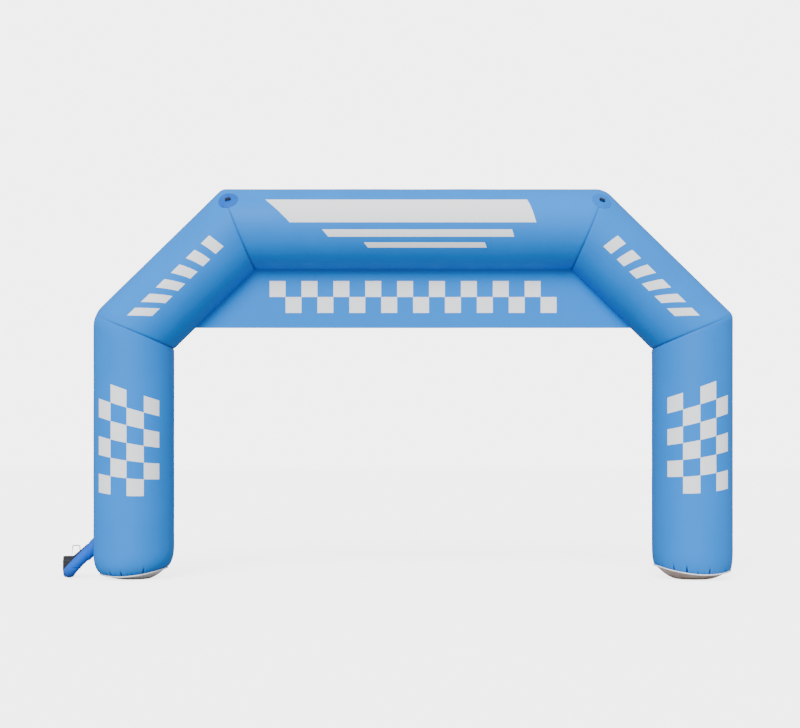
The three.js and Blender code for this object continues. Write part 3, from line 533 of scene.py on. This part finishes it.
def piping_cloth():
    """White piping, a little soiled."""
    material, tree, shader = new_material("white piping")
    place = object_place(tree)
    soil, = place_group(tree, GROUND_DIRT, place, 0.2, 0.15)
    height, shade = place_group(tree, WRINKLES, place, 0.03, (3.0, 1.0, 2.0))
    cloth = blend_colours(tree, shade, (0.84, 0.86, 0.89, 1), (0.93, 0.95, 0.97, 1))
    cloth = blend_colours(tree, soil, cloth, PIPING_SOIL)
    rough = ramp_up(tree, shade, 0.0, 1.0, 0.5, 0.68)
    wire_up(tree, shader, cloth, rough, bump(tree, height, 0.5, 0.001))
    return material


def patch_cloth(name, dark, light):
    """Reinforcing cloth of a deeper blue, welded round the tether tab."""
    material, tree, shader = new_material(name)
    flat = uv_map(tree, "flat")
    across, along, _ = parts_of(tree, flat)
    height, shade = place_group(tree, WRINKLES, object_place(tree), 0.1, (0.6, 2.0, 1.1))
    cloth = blend_colours(tree, shade, dark, light)
    squares = [calc(tree, "MULTIPLY", way, way) for way in (across, along)]
    away = calc(tree, "SQRT", calc(tree, "ADD", *squares))
    turn = calc(tree, "MULTIPLY", calc(tree, "ARCTAN2", along, across), PATCH_TURN)
    thread, dimple = stitch_rows(tree, turn, away, PATCH_ROWS)
    cloth = blend_colours(tree, calc(tree, "MULTIPLY", thread, 0.4), cloth, PATCH_THREAD)
    weave, = place_group(tree, WEAVE, flat, COATED_THREAD)
    rough = ramp_up(tree, shade, 0.0, 1.0, 0.52, 0.64)
    normal = bump(tree, calc(tree, "SUBTRACT", height, dimple), 0.4, 0.001)
    wire_up(tree, shader, cloth, rough, bump(tree, weave, 0.3, 0.0003, normal))
    shader.inputs["Specular IOR Level"].default_value = COATED_GLOSS
    return material


def webbing_cloth():
    """Dark woven webbing with ribs."""
    material, tree, shader = new_material("dark webbing")
    place = object_place(tree)
    weave, = place_group(tree, WEAVE, place, 0.0022)
    fine, _, scuff = place_group(tree, GRAIN, place, 0.004)
    cloth = blend_colours(tree, weave, (0.003, 0.004, 0.012, 1), (0.014, 0.018, 0.045, 1))
    cloth = blend_colours(tree, calc(tree, "MULTIPLY", scuff, 0.35), cloth, (0.07, 0.075, 0.10, 1))
    rough = ramp_up(tree, fine, 0.3, 0.7, 0.72, 0.88)
    wire_up(tree, shader, cloth, rough, bump(tree, weave, 0.6, 0.0006, bump(tree, fine, 0.3, 0.0005)))
    return material


def hard_finish(name, dark, light, worn, roughness, metallic=0.0, grain=0.0012, depth=0.3):
    """Moulded plastic, rubber or metal: cloudy colour, fine grain and scuffs."""
    material, tree, shader = new_material(name)
    fine, cloud, scuff = place_group(tree, GRAIN, object_place(tree), grain)
    colour = blend_colours(tree, ramp_up(tree, cloud, 0.3, 0.7), dark, light)
    colour = blend_colours(tree, calc(tree, "MULTIPLY", scuff, 0.5), colour, worn)
    rough = ramp_up(tree, cloud, 0.3, 0.7, roughness, roughness + 0.14)
    rough = calc(tree, "MULTIPLY_ADD", scuff, 0.15, rough)
    wire_up(tree, shader, colour, rough, bump(tree, fine, depth, 0.0004))
    shader.inputs["Metallic"].default_value = metallic
    return material


# ---------------- modelling helpers


def only(piece):
    """Selects one object and makes it active."""
    bpy.ops.object.select_all(action="DESELECT")
    bpy.context.view_layer.objects.active = piece
    piece.select_set(True)


def turn_outwards(piece):
    """Makes every face of a closed piece look outwards."""
    only(piece)
    bpy.ops.object.mode_set(mode="EDIT")
    bpy.ops.mesh.select_all(action="SELECT")
    bpy.ops.mesh.normals_make_consistent(inside=False)
    bpy.ops.object.mode_set(mode="OBJECT")


def plain_tube(name, rings, sides):
    """A closed tube of radius 1, from z 0 to 1, cut into even rings."""
    bpy.ops.object.select_all(action="DESELECT")
    bpy.ops.mesh.primitive_cylinder_add(
        vertices=sides, radius=1, depth=1, location=(0, 0, 0.5), end_fill_type="TRIFAN")
    tube = bpy.context.object
    tube.name = name
    tube.data.name = name
    bpy.ops.object.transform_apply(location=True, rotation=True, scale=True)
    bpy.ops.object.mode_set(mode="EDIT")
    bpy.ops.mesh.select_mode(type="EDGE")
    bpy.ops.mesh.select_all(action="DESELECT")
    mesh = bmesh.from_edit_mesh(tube.data)
    for edge in mesh.edges:
        edge.select = abs(edge.verts[0].co.z - edge.verts[1].co.z) > 0.5
    bmesh.update_edit_mesh(tube.data)
    bpy.ops.mesh.subdivide(number_cuts=rings - 2)
    bpy.ops.mesh.select_mode(type="VERT")
    bpy.ops.object.mode_set(mode="OBJECT")
    return tube


def wrap_tube(tube, rings, point_at, flat_at=None, seam_at=None):
    """Moves each point of a plain tube to point_at(turn, ring), ring -1 and rings at the end centres.

    flat_at and seam_at give the two maps, in metres, at a turn and a ring."""
    mesh = tube.data
    places = []
    for vertex in mesh.vertices:
        share = vertex.co.z
        ring = round(share * (rings - 1))
        if math.hypot(vertex.co.x, vertex.co.y) < 0.5:
            ring = -1 if share < 0.5 else rings
        places.append((math.atan2(vertex.co.y, vertex.co.x), ring))
    for label, maker in (("flat", flat_at), ("seam", seam_at)):
        if maker is None:
            continue
        layer = mesh.uv_layers.new(name=label)
        for polygon in mesh.polygons:
            corners = [places[mesh.loops[i].vertex_index] for i in polygon.loop_indices]
            middle = next(turn for turn, ring in corners if 0 <= ring < rings)
            for i, (turn, ring) in zip(polygon.loop_indices, corners):
                if not 0 <= ring < rings:
                    turn = middle
                    ring = min(max(ring, 0), rings - 1)
                turn = middle + math.remainder(turn - middle, math.tau)
                layer.data[i].uv = maker(turn, ring)
    for vertex, (turn, ring) in zip(mesh.vertices, places):
        vertex.co = point_at(turn, ring)
    turn_outwards(tube)
    return tube


def smooth_value(rows, at):
    """A value between rows of (place, value), along a smooth curve."""
    if at <= rows[0][0]:
        return rows[0][1]
    if at >= rows[-1][0]:
        return rows[-1][1]
    i = next(k for k in range(len(rows) - 1) if rows[k + 1][0] >= at)
    (x0, y0), (x1, y1) = rows[i], rows[i + 1]
    before = (y1 - rows[i - 1][1]) / (x1 - rows[i - 1][0]) if i else (y1 - y0) / (x1 - x0)
    after = (rows[i + 2][1] - y0) / (rows[i + 2][0] - x0) if i + 2 < len(rows) else 0.0
    t = (at - x0) / (x1 - x0)
    width = x1 - x0
    return (y0 * (1 + 2 * t) * (1 - t) ** 2 + before * width * t * (1 - t) ** 2
            + y1 * t * t * (3 - 2 * t) - after * width * t * t * (1 - t))


def finish_piece(piece, material, node, angle=40):
    """Gives a piece its finish, and lets it stand for its CAD node."""
    only(piece)
    bpy.ops.object.shade_smooth_by_angle(angle=math.radians(angle))
    piece.data.materials.clear()
    piece.data.materials.append(material)
    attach(piece, "root")
    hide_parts(node)
    return piece


def copy_of(node, name):
    """A merged copy of a CAD node's mesh, to be finished by hand."""
    source = bpy.data.objects[node]
    piece = bpy.data.objects.new(name, source.data.copy())
    piece.data.materials.clear()
    bpy.context.collection.objects.link(piece)
    only(piece)
    bpy.ops.object.mode_set(mode="EDIT")
    bpy.ops.mesh.select_all(action="SELECT")
    bpy.ops.mesh.remove_doubles(threshold=0.00001)
    bpy.ops.mesh.tris_convert_to_quads(face_threshold=math.radians(2), shape_threshold=math.radians(60))
    bpy.ops.object.mode_set(mode="OBJECT")
    return piece


def apply_modifier(piece, kind, **settings):
    only(piece)
    modifier = piece.modifiers.new(kind.lower(), kind)
    for name, value in settings.items():
        setattr(modifier, name, value)
    bpy.ops.object.modifier_apply(modifier=modifier.name)


def bevel(piece, width, segments=2, angle=40):
    """Rounds a piece's edges that bend by more than angle, in degrees."""
    apply_modifier(piece, "BEVEL", width=width, segments=segments, limit_method="ANGLE",
                   angle_limit=math.radians(angle))


# ---------------- air tubes


def ripple(turn, seed):
    """An uneven row of puckers round a seam, in and out."""
    around = Vector((math.cos(turn), math.sin(turn), 0)) * 3.4
    broad = noise.noise(around + Vector((0, 0, seed)))
    return broad + 0.8 * noise.noise(around * 2.6 + Vector((0, 0, seed + 5)))


def seam_sink(turn, from_seam, seam):
    """How far the skin is drawn in, near the seam of a mitred corner."""
    outward = math.cos(turn)
    rounding = seam["depth"] * max(0.0, outward) * max(0.0, 1 - from_seam / seam["reach"]) ** 2
    inner = (1 - outward) / 2
    crease = CREASE_DEPTH * inner * max(0.0, 1 - from_seam / CREASE_LENGTH) ** 2
    fade = math.exp(-from_seam / PUCKER_LENGTH * 2) * (1 - math.exp(-from_seam / PUCKER_START))
    pucker = seam["pucker"] * inner ** PUCKER_INWARD * fade * ripple(turn, seam["seed"])
    return rounding + crease + pucker


def skin_swell(place, seed):
    """The slight unevenness of a taut skin."""
    broad = BROAD_SWELL * noise.noise(place * BROAD_SCALE + Vector((seed, 0, 0)))
    return broad + FINE_SWELL * noise.noise(place * FINE_SCALE)


def gather_sink(turn, from_hem):
    """How far the hem's gathers and the small folds between them draw the skin in."""
    degrees = math.degrees(turn) % 360
    sink = 0.0
    for middle, depth, rise in GATHERS:
        away = math.remainder(degrees - middle, 360)
        if abs(away) > GATHER_SPAN:
            continue
        fade = max(0.0, 1 - from_hem / (rise / 1000)) ** GATHER_FADE
        pinch = math.exp(-(away / (GATHER_WIDTH + GATHER_SPREAD * from_hem)) ** 2)
        shoulder = math.exp(-((abs(away) - SHOULDER_AWAY) / SHOULDER_WIDTH) ** 2)
        sink += depth / 1000 * fade * (pinch - SHOULDER * shoulder)
    fine = noise.noise(Vector((math.cos(turn), math.sin(turn), 0.4)) * SMALL_FOLD_SCALE)
    return sink + SMALL_FOLD * fine * math.exp(-from_hem / SMALL_FOLD_RISE)


def foot_radius(turn, from_hem, foot):
    """The skin's radius near a hem, drawn in towards the foot."""
    billow = BILLOW * math.exp(-from_hem / BILLOW_RISE) * (1 - math.exp(-from_hem / BILLOW_START))
    drawn = TUBE_RADIUS - smooth_value(FOOT_ROWS, from_hem) * (TUBE_RADIUS - foot["radius"])
    return drawn - gather_sink(turn, from_hem) + billow


def end_lean(kind, facts, turn):
    """How far an end leans back at a turn, for each metre of radius."""
    if kind == "hem":
        return facts["slope"] * math.cos(turn) + facts["dip"] * math.sin(turn) ** 2
    return facts["lean"] * math.cos(turn)


def near_rows(reach, first, growth):
    """Distances from an end, close together at first and wider later, up to reach."""
    rows = [0.0]
    step = first
    while rows[-1] + step < reach:
        rows.append(rows[-1] + step)
        step *= growth
    return rows


def air_tube(name, start, along, outward, length, ends, sides=192, first_step=0.005, seed=0.0):
    """A tube of coated cloth, full of air, between two leaning ends.

    Each end is a seam or a hem, with its facts."""
    start, along, outward = Vector(start), Vector(along), Vector(outward)
    side = along.cross(outward)
    front = math.pi / 2 if side.y < 0 else -math.pi / 2
    end_rows = near_rows(END_REACH, first_step, ROW_GROWTH)
    body = length - 2 * END_REACH
    middle = max(2, round(body / ROW_STEP))
    stations = [(0, row) for row in end_rows]
    stations += [(None, END_REACH + body * (k + 0.5) / middle) for k in range(middle)]
    stations += [(1, row) for row in reversed(end_rows)]
    rings = len(stations)

    def skin_point(turn, ring):
        end, row = stations[min(max(ring, 0), rings - 1)]
        from_low = row if end != 1 else length - row
        from_high = length - from_low
        radius = TUBE_RADIUS
        for away, (kind, facts) in zip((from_low, from_high), ends):
            if kind == "hem" and away < HEM_REACH:
                radius = foot_radius(turn, away, facts)
            elif kind == "seam" and away < SEAM_REACH:
                radius -= seam_sink(turn, away, facts)
        outer = math.cos(turn)
        guide = (start + along * from_low + outward * outer * TUBE_RADIUS
                 + side * math.sin(turn) * TUBE_RADIUS)
        ease = min(1.0, min(from_low, from_high) / EASE_LENGTH)
        radius += skin_swell(guide, seed) * ease - SKIN_INSET * ease
        if not 0 <= ring < rings:
            radius = 0.0
        lean_low, lean_high = (radius * end_lean(kind, facts, turn) for kind, facts in ends)
        if end == 0:
            distance = row + SEAM_GAP - lean_low
        elif end == 1:
            distance = length - row - SEAM_GAP + lean_high
        else:
            share = (row - END_REACH) / body
            distance = row - lean_low * (1 - share) + lean_high * share
        return start + along * distance + outward * radius * outer + side * radius * math.sin(turn)

    def flat_at(turn, ring):
        end, row = stations[ring]
        from_low = row if end != 1 else length - row
        return (TUBE_RADIUS * (front - turn if front > 0 else turn - front), from_low)

    def seam_at(turn, ring):
        end, row = stations[ring]
        if end is None:
            return (TUBE_RADIUS * turn, SEAM_MAP_FAR)
        return (TUBE_RADIUS * turn, row if ends[end][0] == "seam" else max(row, HEM_MAP_LEAST))

    tube = plain_tube(name, rings, sides)
    # The 'fold' attribute holds how deep each point lies in a hem's gather; the leg cloth paints shade
    # there with it.
    if ends[0][0] == "hem":
        gather_shade_weights = []
        for vertex in tube.data.vertices:
            end, row = stations[round(vertex.co.z * (rings - 1))]
            turn = math.atan2(vertex.co.y, vertex.co.x)
            gather_shade_weights.append(max(0.0, gather_sink(turn, row)) / FULL_FOLD if end == 0 else 0.0)
        folds = tube.data.attributes.new("fold", "FLOAT", "POINT")
        folds.data.foreach_set("value", gather_shade_weights)
    return wrap_tube(tube, rings, skin_point, flat_at, seam_at)


def slope_axes(side):
    along = Vector((-side * math.cos(SLOPE_ANGLE), 0, math.sin(SLOPE_ANGLE)))
    outward = Vector((side * math.sin(SLOPE_ANGLE), 0, math.cos(SLOPE_ANGLE)))
    return along, outward


def add_air_tubes():
    # The leg cloth has painted shade in the hem's gathers.
    leg_cloth = coated_cloth("leg cloth", leg_print, dirt=0.25, paint_gather_shade=True)
    slope_cloth = coated_cloth("slope cloth", slope_print)
    beam_cloth = coated_cloth("beam cloth", beam_print)
    for place, side in SIDES:
        axis_x = ARCH_X + side * LEG_X
        foot = FEET[place]
        lower, upper = ("seam", LOWER_SEAMS[place]), ("seam", UPPER_SEAMS[place])
        leg = air_tube(f"leg_{place}_skin", (axis_x, 0, foot["height"]), (0, 0, 1), (side, 0, 0),
                       LOWER_CORNER_Z - foot["height"], (("hem", foot), lower), sides=432, first_step=0.004,
                       seed=side * 2.0)
        finish_piece(leg, leg_cloth, f"leg_{place}", angle=55)
        along, outward = slope_axes(side)
        slope = air_tube(f"slope_{place}_skin", (axis_x, 0, LOWER_CORNER_Z), along, outward,
                         SLOPE_LENGTH, (lower, upper), seed=side * 4.0)
        finish_piece(slope, slope_cloth, f"slope_{place}", angle=55)
    beam = air_tube("beam_skin", (ARCH_X - BEAM_CORNER_X, 0, BEAM_Z), (1, 0, 0), (0, 0, 1),
                    2 * BEAM_CORNER_X, (("seam", UPPER_SEAMS["left"]), ("seam", UPPER_SEAMS["right"])))
    finish_piece(beam, beam_cloth, "beam", angle=55)


# ---------------- feet


def foot_point(place, side, turn, radius, height, lean):
    """A point of a foot, whose height falls by its share of the hem's lean."""
    foot = FEET[place]
    fall = lean * foot["radius"] * end_lean("hem", foot, turn)
    axis_x = ARCH_X + side * LEG_X
    return Vector((axis_x + side * radius * math.cos(turn), side * radius * math.sin(turn), height - fall))


def pan_rows(foot):
    """The base panel's radius, height and share of the lean, from its floor out to the hem and back in."""
    rows = []
    for share in PAN_SHARES:
        rise = max(0.0, (share - PAN_FLOOR_SHARE) / (1 - PAN_FLOOR_SHARE)) ** PAN_CURVE
        rows.append((share * foot["radius"], rise * foot["height"], rise))
    lid = foot["height"] - LID_DROP
    return rows + [(0.997 * foot["radius"], lid, 0.997), (0.5 * foot["radius"], lid, 0.5), (0.0, lid, 0.0)]


def add_pan(place, side, cloth):
    """The shallow base panel under a leg."""
    rows = pan_rows(FEET[place])
    rings = len(rows) - 2

    def pan_point(turn, ring):
        radius, height, lean = rows[min(max(ring, -1), rings) + 1]
        if 0.01 < lean and ring < rings - 1:
            around = Vector((math.cos(turn) * 7, math.sin(turn) * 7, radius * 14 + side))
            tuck = lean ** 3 * max(0.0, gather_sink(turn, 0.0))
            radius -= PAN_UNEVEN * (1 + noise.noise(around)) * (1 - lean ** 8) + PAN_TUCK * tuck
        point = foot_point(place, side, turn, radius, height, lean)
        point.z = max(point.z, 0.0)
        return point

    pan = wrap_tube(plain_tube(f"base_{place}_pan", rings, 240), rings, pan_point)
    finish_piece(pan, cloth, f"base_{place}", angle=60)


def add_welt(place, side, cloth):
    """The piping in the seam between a leg and its base panel."""
    foot = FEET[place]
    bpy.ops.object.select_all(action="DESELECT")
    bpy.ops.mesh.primitive_torus_add(
        major_segments=320, minor_segments=12, major_radius=1.0, minor_radius=PLAIN_WELT)
    welt = bpy.context.object
    welt.name = f"welt_{place}_piping"
    for vertex in welt.data.vertices:
        turn = math.atan2(vertex.co.y, vertex.co.x)
        out = (math.hypot(vertex.co.x, vertex.co.y) - 1) / PLAIN_WELT
        up = vertex.co.z / PLAIN_WELT
        sink = max(0.0, gather_sink(turn, 0.0))
        radius = foot["radius"] + WELT_OFFSET + WELT_RADIUS * out - WELT_TUCK * sink
        height = foot["height"] - WELT_OFFSET + WELT_RADIUS * up
        vertex.co = foot_point(place, side, turn, radius, height, 1.0)
    turn_outwards(welt)
    finish_piece(welt, cloth, f"welt_{place}")


def add_feet():
    pan_cloths = {
        "left": base_cloth("pale base cloth", (0.80, 0.74, 0.70, 1), (0.93, 0.90, 0.88, 1), 0.08),
        # The right panel's cloth is darker and browner than the left one's.
        "right": base_cloth("beige base cloth", (0.75, 0.58, 0.48, 1), (0.90, 0.75, 0.65, 1), 0.12),
    }
    piping = piping_cloth()
    for place, side in SIDES:
        add_pan(place, side, pan_cloths[place])
        add_welt(place, side, piping)


# ---------------- banner


BANNER_BOTTOM = 3.140
BANNER_WAVES = ((0.010, 0.9, 0.5, 2.0), (0.004, 3.4, 1.2, 6.0))  # depth, scales across and up, seed
CORNER_LIFT, CORNER_ACROSS, CORNER_DOWN = 0.008, 0.02, 0.05  # raises the top corners to the tubes


def add_banner():
    """The trapezoid cloth under the beam, taut along its top and ends."""
    top = BEAM_Z - TUBE_RADIUS - CLOTH_GAP
    _, outward = slope_axes(1)
    belly_x = LEG_X - outward.x * (TUBE_RADIUS + CLOTH_GAP)
    belly_z = LOWER_CORNER_Z - outward.z * (TUBE_RADIUS + CLOTH_GAP)
    bpy.ops.object.select_all(action="DESELECT")
    bpy.ops.mesh.primitive_grid_add(x_subdivisions=220, y_subdivisions=40, size=2)
    banner = bpy.context.object
    banner.name = "banner_cloth"
    mesh = banner.data
    layer = mesh.uv_layers.new(name="flat")
    shares = [(vertex.co.x, (vertex.co.y + 1) / 2) for vertex in mesh.vertices]

    def outline(share_x, share_z):
        z = BANNER_BOTTOM + (top - BANNER_BOTTOM) * share_z
        half = belly_x - (z - belly_z) * SLOPE_RUN / SLOPE_RISE
        return half * share_x, z

    for loop in mesh.loops:
        x, z = outline(*shares[loop.vertex_index])
        layer.data[loop.index].uv = (x, z - BANNER_BOTTOM)
    for vertex, (share_x, share_z) in zip(mesh.vertices, shares):
        x, z = outline(share_x, share_z)
        free = (1 - share_z ** 2) * (1 - share_x ** 8)
        wave = sum(depth * noise.noise(Vector((x * across, z * up, seed)))
                   for depth, across, up, seed in BANNER_WAVES)
        at_end = max(0.0, 1 - (1 - abs(share_x)) / CORNER_ACROSS)
        corner = at_end * max(0.0, 1 - (1 - share_z) / CORNER_DOWN)
        vertex.co = (ARCH_X + x, wave * free, z + CORNER_LIFT * corner)
    only(banner)
    apply_modifier(banner, "SOLIDIFY", thickness=0.0016, offset=0)
    cloth = coated_cloth(
        "banner cloth", banner_print, colour=BANNER_BLUE, roughness=0.68, dirt=0.0, seamed=False)
    finish_piece(banner, cloth, "banner", angle=30)


# ---------------- tether points


FRONT_Y = -0.2  # the normals of a patch's front faces have a y below this


def add_patch(place, cloth):
    """A corner's round patch, with a flat map about its middle."""
    patch = copy_of(f"tether_patch_{place}", f"tether_patch_{place}_cloth")
    low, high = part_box(f"tether_patch_{place}")
    middle = (Vector(low) + Vector(high)) / 2
    front = [face for face in patch.data.polygons if face.normal.y < FRONT_Y]
    normal = sum((face.normal * face.area for face in front), Vector()).normalized()
    side = normal.orthogonal().normalized()
    other = normal.cross(side)
    layer = patch.data.uv_layers.new(name="flat")
    for loop in patch.data.loops:
        away = patch.data.vertices[loop.vertex_index].co - middle
        layer.data[loop.index].uv = (away.dot(side), away.dot(other))
    finish_piece(patch, cloth, f"tether_patch_{place}")


def add_tethers():
    """The patch, the folded tab and the ring at each top corner."""
    patch_finishes = {
        "left": patch_cloth("deep patch cloth", (0.0, 0.095, 0.50, 1), (0.0, 0.115, 0.56, 1)),
        "right": patch_cloth("pale patch cloth", (0.0, 0.16, 0.62, 1), (0.0, 0.175, 0.66, 1)),
    }
    webbing = webbing_cloth()
    steel = hard_finish("blackened ring steel", (0.012, 0.014, 0.022, 1), (0.03, 0.034, 0.048, 1),
                        (0.14, 0.14, 0.16, 1), 0.36, 1.0, 0.002, 0.1)
    for place, _ in SIDES:
        add_patch(place, patch_finishes[place])
        tab = copy_of(f"tether_tab_{place}", f"tether_tab_{place}_webbing")
        bevel(tab, 0.0006)
        finish_piece(tab, webbing, f"tether_tab_{place}")
        ring = copy_of(f"tether_ring_{place}", f"tether_ring_{place}_wire")
        bevel(ring, 0.0022, segments=4, angle=60)
        finish_piece(ring, steel, f"tether_ring_{place}", angle=35)


# ---------------- air sleeve

SLEEVE_PATH = [
    (-3.603, 0, 0.549), (-3.753, 0, 0.402), (-3.883, -0.004, 0.274), (-3.985, -0.010, 0.172),
    (-4.049, 0.012, 0.104), (-4.0832, 0.0741, 0.076), (-4.095, 0.1194, 0.076), (-4.1138, 0.1922, 0.076),
]
SLEEVE_ROWS = [  # share of the length, and radius
    (0, 0.086), (0.22, 0.084), (0.27, 0.076), (0.33, 0.072), (0.45, 0.072), (0.56, 0.071),
    (0.62, 0.071), (0.67, 0.072), (0.72, 0.073), (0.77, 0.074), (0.83, 0.0755), (0.88, 0.0725),
    (0.915, 0.064), (0.97, 0.064), (1.0, 0.067),
]
SLEEVE_FOLDS = [  # share of the length, turn, depth and width
    (0.66, 2.5, 0.010, 0.010), (0.60, 2.3, 0.003, 0.014), (0.86, 1.2, 0.004, 0.012),
]
FOLD_SLANT = 0.045
FOLD_SPREAD = 0.6
SLEEVE_RINGS, SLEEVE_SIDES = 96, 64
SLEEVE_FROM = 0.1  # the share of its path where the skin starts
SLEEVE_SEAM = 0.18  # the share where its seam is drawn
SLEEVE_MAP_RADIUS = 0.072
SLEEVE_INSET = 0.0006
TIE_AT, TIE_REACH = 0.94, 0.06
PLEAT_AT, PLEAT_REACH, PLEAT_DEPTH = 0.905, 0.05, 0.0018
CRINKLE = 0.0009
LEG_CLEARANCE, CLEARANCE_STEP, CLEARED_RINGS = 0.0025, 0.004, 20


def smooth_path(points, steps=24):
    """Points of a centripetal curve through the given ones, evenly spaced in each stretch."""
    points = [Vector(p) for p in points]
    points = [2 * points[0] - points[1]] + points + [2 * points[-1] - points[-2]]
    found = []
    for p0, p1, p2, p3 in zip(points, points[1:], points[2:], points[3:]):
        d0, d1, d2 = ((b - a).length ** 0.5 for a, b in ((p0, p1), (p1, p2), (p2, p3)))
        leave = ((p1 - p0) / d0 - (p2 - p0) / (d0 + d1) + (p2 - p1) / d1) * d1
        reach = ((p2 - p1) / d1 - (p3 - p1) / (d1 + d2) + (p3 - p2) / d2) * d1
        for k in range(steps):
            t = k / steps
            found.append(p1 + leave * t + (3 * (p2 - p1) - 2 * leave - reach) * t * t
                         + (2 * (p1 - p2) + leave + reach) * t ** 3)
    found.append(points[-2])
    return found


def clear_of_leg(point, way, clear):
    """Slides a point along way until it is clear metres from the left leg's middle line."""
    x = point.x - (ARCH_X - LEG_X)
    a = way.x ** 2 + way.y ** 2
    b = 2 * (x * way.x + point.y * way.y)
    c = x ** 2 + point.y ** 2 - clear ** 2
    if c < 0:
        point = point + way * ((-b + math.sqrt(b * b - 4 * a * c)) / (2 * a))
    return point


def add_sleeve():
    """The air sleeve from the left leg to the blower, with its flap and strap."""
    path = smooth_path(SLEEVE_PATH)
    lengths = [0.0]
    for a, b in zip(path, path[1:]):
        lengths.append(lengths[-1] + (b - a).length)

    def middle_at(share):
        goal = share * lengths[-1]
        i = max(1, next((k for k, d in enumerate(lengths) if d >= goal), len(lengths) - 1))
        t = (goal - lengths[i - 1]) / (lengths[i] - lengths[i - 1])
        return path[i - 1].lerp(path[i], t), (path[i] - path[i - 1]).normalized()

    rings = SLEEVE_RINGS
    frames = []
    zero = Vector((0, 1, 0))
    for ring in range(rings):
        share = SLEEVE_FROM + (1 - SLEEVE_FROM) * ring / (rings - 1)
        centre, tangent = middle_at(share)
        quarter = tangent.cross(zero).normalized()
        zero = quarter.cross(tangent).normalized()
        frames.append((share, centre, tangent, zero.copy(), quarter))

    def sleeve_point(turn, ring):
        share, centre, tangent, zero_way, quarter_way = frames[min(max(ring, 0), rings - 1)]
        radius = smooth_value(SLEEVE_ROWS, share)
        fold = 0.0
        for place, around, depth, width in SLEEVE_FOLDS:
            away = math.remainder(turn - around, math.tau)
            bent = place + FOLD_SLANT * away
            fold += depth * math.exp(-((share - bent) / width) ** 2) * math.exp(-(away / FOLD_SPREAD) ** 2)
        tied = max(0.0, 1 - abs(share - TIE_AT) / TIE_REACH)
        pleats = PLEAT_DEPTH * math.sin(turn * 17 + math.sin(turn * 5))
        pleats *= max(0.0, 1 - abs(share - PLEAT_AT) / PLEAT_REACH)
        crinkle = CRINKLE * noise.noise(Vector((math.cos(turn) * 2, math.sin(turn) * 2, share * 22)))
        radius += (crinkle + pleats - fold) * (1 - tied) - SLEEVE_INSET
        if not 0 <= ring < rings:
            radius = 0.0
        point = centre + zero_way * radius * math.cos(turn) + quarter_way * radius * math.sin(turn)
        if ring < CLEARED_RINGS:
            point = clear_of_leg(point, tangent, TUBE_RADIUS + LEG_CLEARANCE + CLEARANCE_STEP * ring)
        point.z = max(point.z, 0.0)
        return point

    def flat_at(turn, ring):
        return (SLEEVE_MAP_RADIUS * turn, frames[ring][0] * lengths[-1])

    def seam_at(turn, ring):
        return (SLEEVE_MAP_RADIUS * turn, max(0.0, (frames[ring][0] - SLEEVE_SEAM)) * lengths[-1])

    tube = plain_tube("air_sleeve_cloth", rings, SLEEVE_SIDES)
    sleeve = wrap_tube(tube, rings, sleeve_point, flat_at, seam_at)
    cloth = coated_cloth("sleeve cloth", dirt=0.25, colour=SLEEVE_BLUE)
    finish_piece(sleeve, cloth, "air_sleeve", angle=60)
    webbing = bpy.data.materials["dark webbing"]
    flap = copy_of("sleeve_flap", "sleeve_flap_webbing")
    bevel(flap, 0.0007)
    finish_piece(flap, webbing, "sleeve_flap")
    strap = copy_of("sleeve_strap", "sleeve_strap_webbing")
    bevel(strap, 0.0006)
    finish_piece(strap, webbing, "sleeve_strap")


# ---------------- blower finishes


def finish_blower():
    """Gives the blower's own solids their finishes."""
    black = hard_finish("black moulded plastic", (0.008, 0.009, 0.011, 1), (0.016, 0.017, 0.02, 1),
                        (0.09, 0.09, 0.09, 1), 0.42)
    grey = hard_finish("grey moulded plastic", (0.16, 0.165, 0.175, 1), (0.23, 0.235, 0.245, 1),
                       (0.4, 0.4, 0.4, 1), 0.45)
    wire = hard_finish("painted guard", (0.035, 0.038, 0.044, 1), (0.055, 0.058, 0.065, 1),
                       (0.22, 0.22, 0.22, 1), 0.35, 0.4)
    rubber = hard_finish("foot rubber", (0.005, 0.005, 0.005, 1), (0.011, 0.011, 0.011, 1),
                         (0.05, 0.05, 0.05, 1), 0.75)
    finishes = {"blower_housing": black, "blower_motor": black, "blower_stand": black,
                "blower_handle": grey, "blower_guard": wire, "blower_gland": rubber}
    for name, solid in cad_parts.items():
        material = rubber if name.startswith("blower_foot") else finishes.get(name)
        if material is None:
            continue
        for slot in solid.material_slots:
            slot.material = material


# ---------------- the whole arch

add_camera()
add_studio()
add_air_tubes()
add_feet()
add_banner()
add_tethers()
add_sleeve()
finish_blower()
